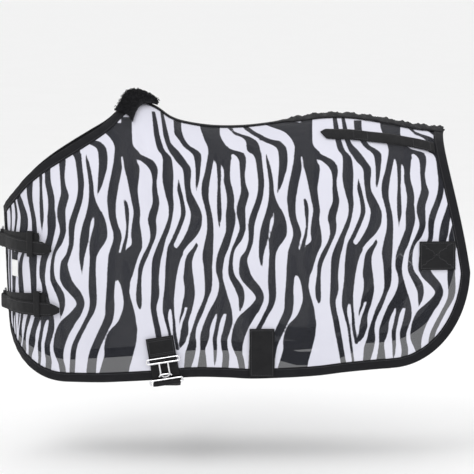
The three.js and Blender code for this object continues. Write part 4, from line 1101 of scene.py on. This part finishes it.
def chest_billet(name, edge_x, z, tip_x, tip_z):
    """The strap from its seam on the far front, round the edge, through the buckle to its tip."""
    rows = lying(u_of(SEW_X, z), u_of(edge_x + 3.2, z), z, z, 24, 5.1, far=True)
    free = smooth_path([(p, q, 0) for p, q in FREE_PATH], 2)
    for (p, q, _), n in zip(free, unit(np.gradient(free, axis=0))):
        rows.append(hanging(np.array([edge_x - q, p, 0.0]) * MM, n, z))
    rows += lying(u_of(edge_x + 10.5, z), u_of(tip_x, tip_z), z, tip_z, 34, 8.9, 0.64)
    mid, normal = stacked(rows)
    turn = np.cross(np.gradient(mid, axis=0), np.gradient(mid, axis=1))
    normal = np.where((turn * normal).sum(-1, keepdims=True) < 0, -unit(turn), unit(turn))
    billet = band(f"{name}_billet_webbing", mid, normal, rounded(WEB_COLUMNS, 2.0), WEBBING)
    place(billet, "sheet", "webbing", f"{name}_billet", f"{name}_billet_patch")
    sewn = slice(-32, -3)
    seam = [(mid[sewn, j] + normal[sewn, j] * MM, normal[sewn, j]) for j in (1, 7)]
    place(stitches(f"{name}_strap_stitching", seam), "sheet", "webbing")


def chest_keeper(name, x, high, low):
    """The narrow loop over tab and billet, from its top foot to its lower one."""
    loop = []
    for z, off in ((high, 3.2), (high, 7), (high - 1, 10.6), ((high + low) / 2, 10.9),
                   (low + 1, 10.6), (low, 7), (low, 3.2)):
        loop.append(laid(*side_uv(np.linspace(x, x + 11, 6), np.full(6, z)), off)[0])
    ring = np.array(loop)
    fine = np.stack([along_rows(ring[:, j], np.linspace(0, 6, 31)) for j in range(6)], 1)
    outward = unit(np.cross(np.gradient(fine, axis=0), np.gradient(fine, axis=1)))
    keeper = band(f"{name}_keeper_loop", fine, outward, rounded(6, 1.0), WEBBING)
    place(keeper, "sheet", "webbing", f"{name}_keeper")


def chest(name, frame_z, tab_z, tab_end, billet_z, tip, keeper_x):
    edge = surf(0.0, float(v_at(np.array([0.0]), np.array([frame_z * MM]))[0]))
    chest_tab(name, edge, frame_z, tab_z, *tab_end)
    chest_billet(name, edge[0] / MM, billet_z, *tip)
    chest_keeper(name, keeper_x, tab_end[1] + WEB / 2 + 1.4, tip[1] - WEB / 2 - 1.6)


chest("upper", -259, -256.2, (-162, -253), -261.8, (-138, -269), -181)
chest("lower", -374, -371.2, (-150, -360), -376.8, (-124, -377), -169)


# ---------- belly strap and its clasp ----------
TILT = math.radians(9.5)
BELLY_WEB = 50
clasp_u, clasp_v = (float(q) for q in side_uv(62, -470))
clasp_at = surf(clasp_u, clasp_v)
clasp_out = normal_at(clasp_u, clasp_v)
clasp_along = np.array([math.cos(TILT), 0, math.sin(TILT)])
clasp_along = unit(clasp_along - clasp_out * (clasp_along @ clasp_out))
clasp_up = np.cross(clasp_out, clasp_along)


def clasp_point(x, y, h):
    return clasp_at + (clasp_along * x + clasp_up * y + clasp_out * h) * MM


def clasp_laid(x, y, off):
    """Places on the sheet under clasp coordinates x and y, lifted by off."""
    p = clasp_at + (clasp_along * x[..., None] + clasp_up * y[..., None]) * MM
    return laid(*side_uv(p[..., 0] / MM, p[..., 2] / MM), off)


def clasp_rows(y0, y1, off, n):
    half = BELLY_WEB / 2
    y, x = np.meshgrid(np.linspace(y1, y0, n), np.linspace(-half, half, 17), indexing="ij")
    return clasp_laid(x, y, off)


def clasp_loop(y, radius, turns, m):
    """Rows of webbing round a bar of the clasp; turns are its angles from outwards, downwards."""
    rows = []
    reach = clasp_along * np.linspace(-0.5, 0.5, m)[:, None] * BELLY_WEB * MM
    for a in turns:
        n = clasp_out * math.cos(a) - clasp_up * math.sin(a)
        rows.append((clasp_point(0, y, 10) + n * radius * MM + reach, np.tile(n, (m, 1))))
    return stacked(rows)


def clasp_tab():
    """The sewn tab under the clasp, and its fold that holds the loop plate."""
    back = band("clasp_tab_backing", *clasp_rows(-29, 46, 4.5, 26), rounded(17, 1.4), WEBBING)
    place(back, "sheet", "webbing", "surcingle_tab")
    flat = clasp_rows(9, 46, 6.3, 14)
    loop = clasp_loop(8, 3.1, np.linspace(0, math.pi * 1.15, 12), 17)
    mid, normal = (np.concatenate(pair) for pair in zip(flat, loop))
    place(band("clasp_tab_fold", mid, normal, rounded(17, 1.9), WEBBING), "sheet", "webbing")
    lines = []
    for low, high in ((14, 43), (17, 40)):
        corners = [(-22, low), (22, low), (22, high), (-22, high), (-22, low)]
        path = np.concatenate([np.linspace(a, b, 14) for a, b in zip(corners[:-1], corners[1:])])
        lines.append(clasp_laid(path[:, 0], path[:, 1], 7.3))
    place(stitches("clasp_tab_stitching", lines), "sheet", "webbing")


def belly_loop():
    """The end of the belly strap, round the hook's bar; it swings with the clasp."""
    turns = np.linspace(-0.35, 1.5 * math.pi, 18) - math.pi / 2
    loop = clasp_loop(-38, 3.0, turns, 11)
    end = band("belly_strap_loop", *loop, rounded(11, 2.0), WEBBING)
    place(end, "clasp", "webbing", "surcingle_strap_end")


def belly_strap():
    """Webbing from the clasp under the belly and up to its patch on the far side."""
    up = np.array([-30, -20, -10, 0, 10, 20, 30, 40, 45]) * 0.99
    far_up = mirror(laid(*side_uv(np.full(9, 66), -471 + up), 5.6)[0])
    far_foot = mirror(laid(*side_uv(66, -502.4), 5.6)[0]) + np.array([0, 0, -3 * MM])
    level = np.array([(67, -132, -515.5), (66.4, -118, -519.5), (66, -104, -522), (66, -60, -522),
                      (66, 0, -522), (66, 60, -522), (66, 104, -522), (66, 124, -519.5),
                      (66, 146, -514.5), (66, 158, -511.3), (66, 164.4, -508.6)]) * MM
    down = [clasp_point(0, -40.3, h) for h in (8, -5.6, -14)]
    path = np.vstack([down, level, [far_foot], far_up])
    across = [clasp_along] * 3 + [(1, 0, 0)] * 17 + [(1, 0.046, 0)] * 3
    strap = ribbon("belly_strap_webbing", path, across, BELLY_WEB, 2, 4, 11)
    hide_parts("surcingle_strap")
    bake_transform(strap)


clasp_tab()
belly_loop()
belly_strap()

# ---------- tail strap ----------
TAIL_LINE = [(553.5, -91.4), (543, -88.5), (529, -85), (505, -80), (480, -76), (442, -71),
             (403, -67), (366, -65.5), (357, -65.2), (347, -63)]
TAIL_TIP = 0.055


def tail_strap():
    """Webbing from the tail edge to a pointed end, with two box stitches."""
    line = smooth_path([(x, 0, z) for x, z in TAIL_LINE], 2.5)
    mid_u, mid_v = side_uv(line[:, 0], line[:, 2])
    share = np.linspace(0, 1, len(mid_u))
    tip = np.clip((share - 1 + TAIL_TIP) / TAIL_TIP, 0, 1)
    width = WEB * np.clip(1 - tip ** 1.5, 0.08, 1) * MM
    size = np.linalg.norm(slopes(mid_u, mid_v)[1], axis=-1)
    v = mid_v[:, None] + (width / size)[:, None] * np.linspace(-0.5, 0.5, 11)
    u = np.broadcast_to(mid_u[:, None], v.shape)
    wave_off = 4.7 + 0.35 * np.sin(share * 19)[:, None]
    strap = surface_band("tail_strap_webbing", u, v, wave_off, 2.0, WEBBING)
    place(strap, "tail_strap", "webbing", "tail_strap")
    lines = []
    for lo, hi in ((3, 16), (50, 60)):
        path = [(i, 1) for i in range(lo, hi)] + [(hi, j) for j in range(1, 10)]
        path += [(i, 9) for i in range(hi, lo, -1)] + [(lo, j) for j in range(9, 0, -1)]
        idx = tuple(np.array(path).T)
        lines.append(laid(u[idx], v[idx], 5.8))
    place(stitches("tail_strap_stitching", lines), "tail_strap", "webbing")


tail_strap()


# ---------- leg straps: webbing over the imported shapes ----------
EDGE_ANGLE = 0.9


def webbing_over(node, name):
    """A copy of a small packed strap with rounded edges and ribs."""
    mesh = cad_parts[node].data.copy()
    mesh.materials.clear()
    mesh.materials.append(WEBBING)
    o = bpy.data.objects.new(name, mesh)
    bpy.context.scene.collection.objects.link(o)
    bm = bmesh.new()
    bm.from_mesh(mesh)
    bmesh.ops.remove_doubles(bm, verts=bm.verts, dist=1e-5)
    sharp = [e for e in bm.edges if len(e.link_faces) == 2 and e.calc_face_angle() > EDGE_ANGLE]
    bmesh.ops.bevel(bm, geom=sharp, offset=0.4 * MM, segments=2, affect="EDGES")
    uv = bm.loops.layers.uv.verify()
    for f in bm.faces:
        for loop in f.loops:
            co = loop.vert.co
            loop[uv].uv = (co.y, math.hypot(co.x, co.z))
    bm.to_mesh(mesh)
    bm.free()
    mesh.uv_layers[0].name = "UVMap"
    place(o, "sheet", "webbing", node)


for side in SIDES:
    webbing_over(f"{side}_leg_dring_loop", f"{side}_dring_loop_webbing")
    webbing_over(f"{side}_leg_strap", f"{side}_leg_strap_webbing")

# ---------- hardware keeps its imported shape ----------
HARDWARE = {METAL: ["surcingle_loop_plate", "surcingle_t_hook"],
            PLASTIC: ["surcingle_slider", "near_leg_slider", "far_leg_slider"]}
for name in ("upper", "lower"):
    HARDWARE[METAL] += [f"{name}_buckle_frame", f"{name}_buckle_prong"]
for side in SIDES:
    HARDWARE[METAL] += [f"{side}_leg_{k}" for k in ("dring", "snap", "snap_gate")]
for look, nodes in HARDWARE.items():
    for node in nodes:
        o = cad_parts[node]
        if not o.material_slots:
            o.data.materials.append(look)
        for s in o.material_slots:
            s.material = look

# ---------- floor ----------
FLOOR_REACH = 200


def studio_floor():
    corners = [(x * FLOOR_REACH, y * FLOOR_REACH, FLOOR_Z)
               for x, y in ((-1, -1), (1, -1), (1, 1), (-1, 1))]
    look = Nodes("studio_floor", (0.93, 0.93, 0.93), 0.9)
    look.tones(look.noise(3, 2), (0.92, 0.92, 0.92), (0.95, 0.95, 0.95))
    make("floor", corners, [(0, 1, 2, 3)], look.mat, closed=False)


studio_floor()
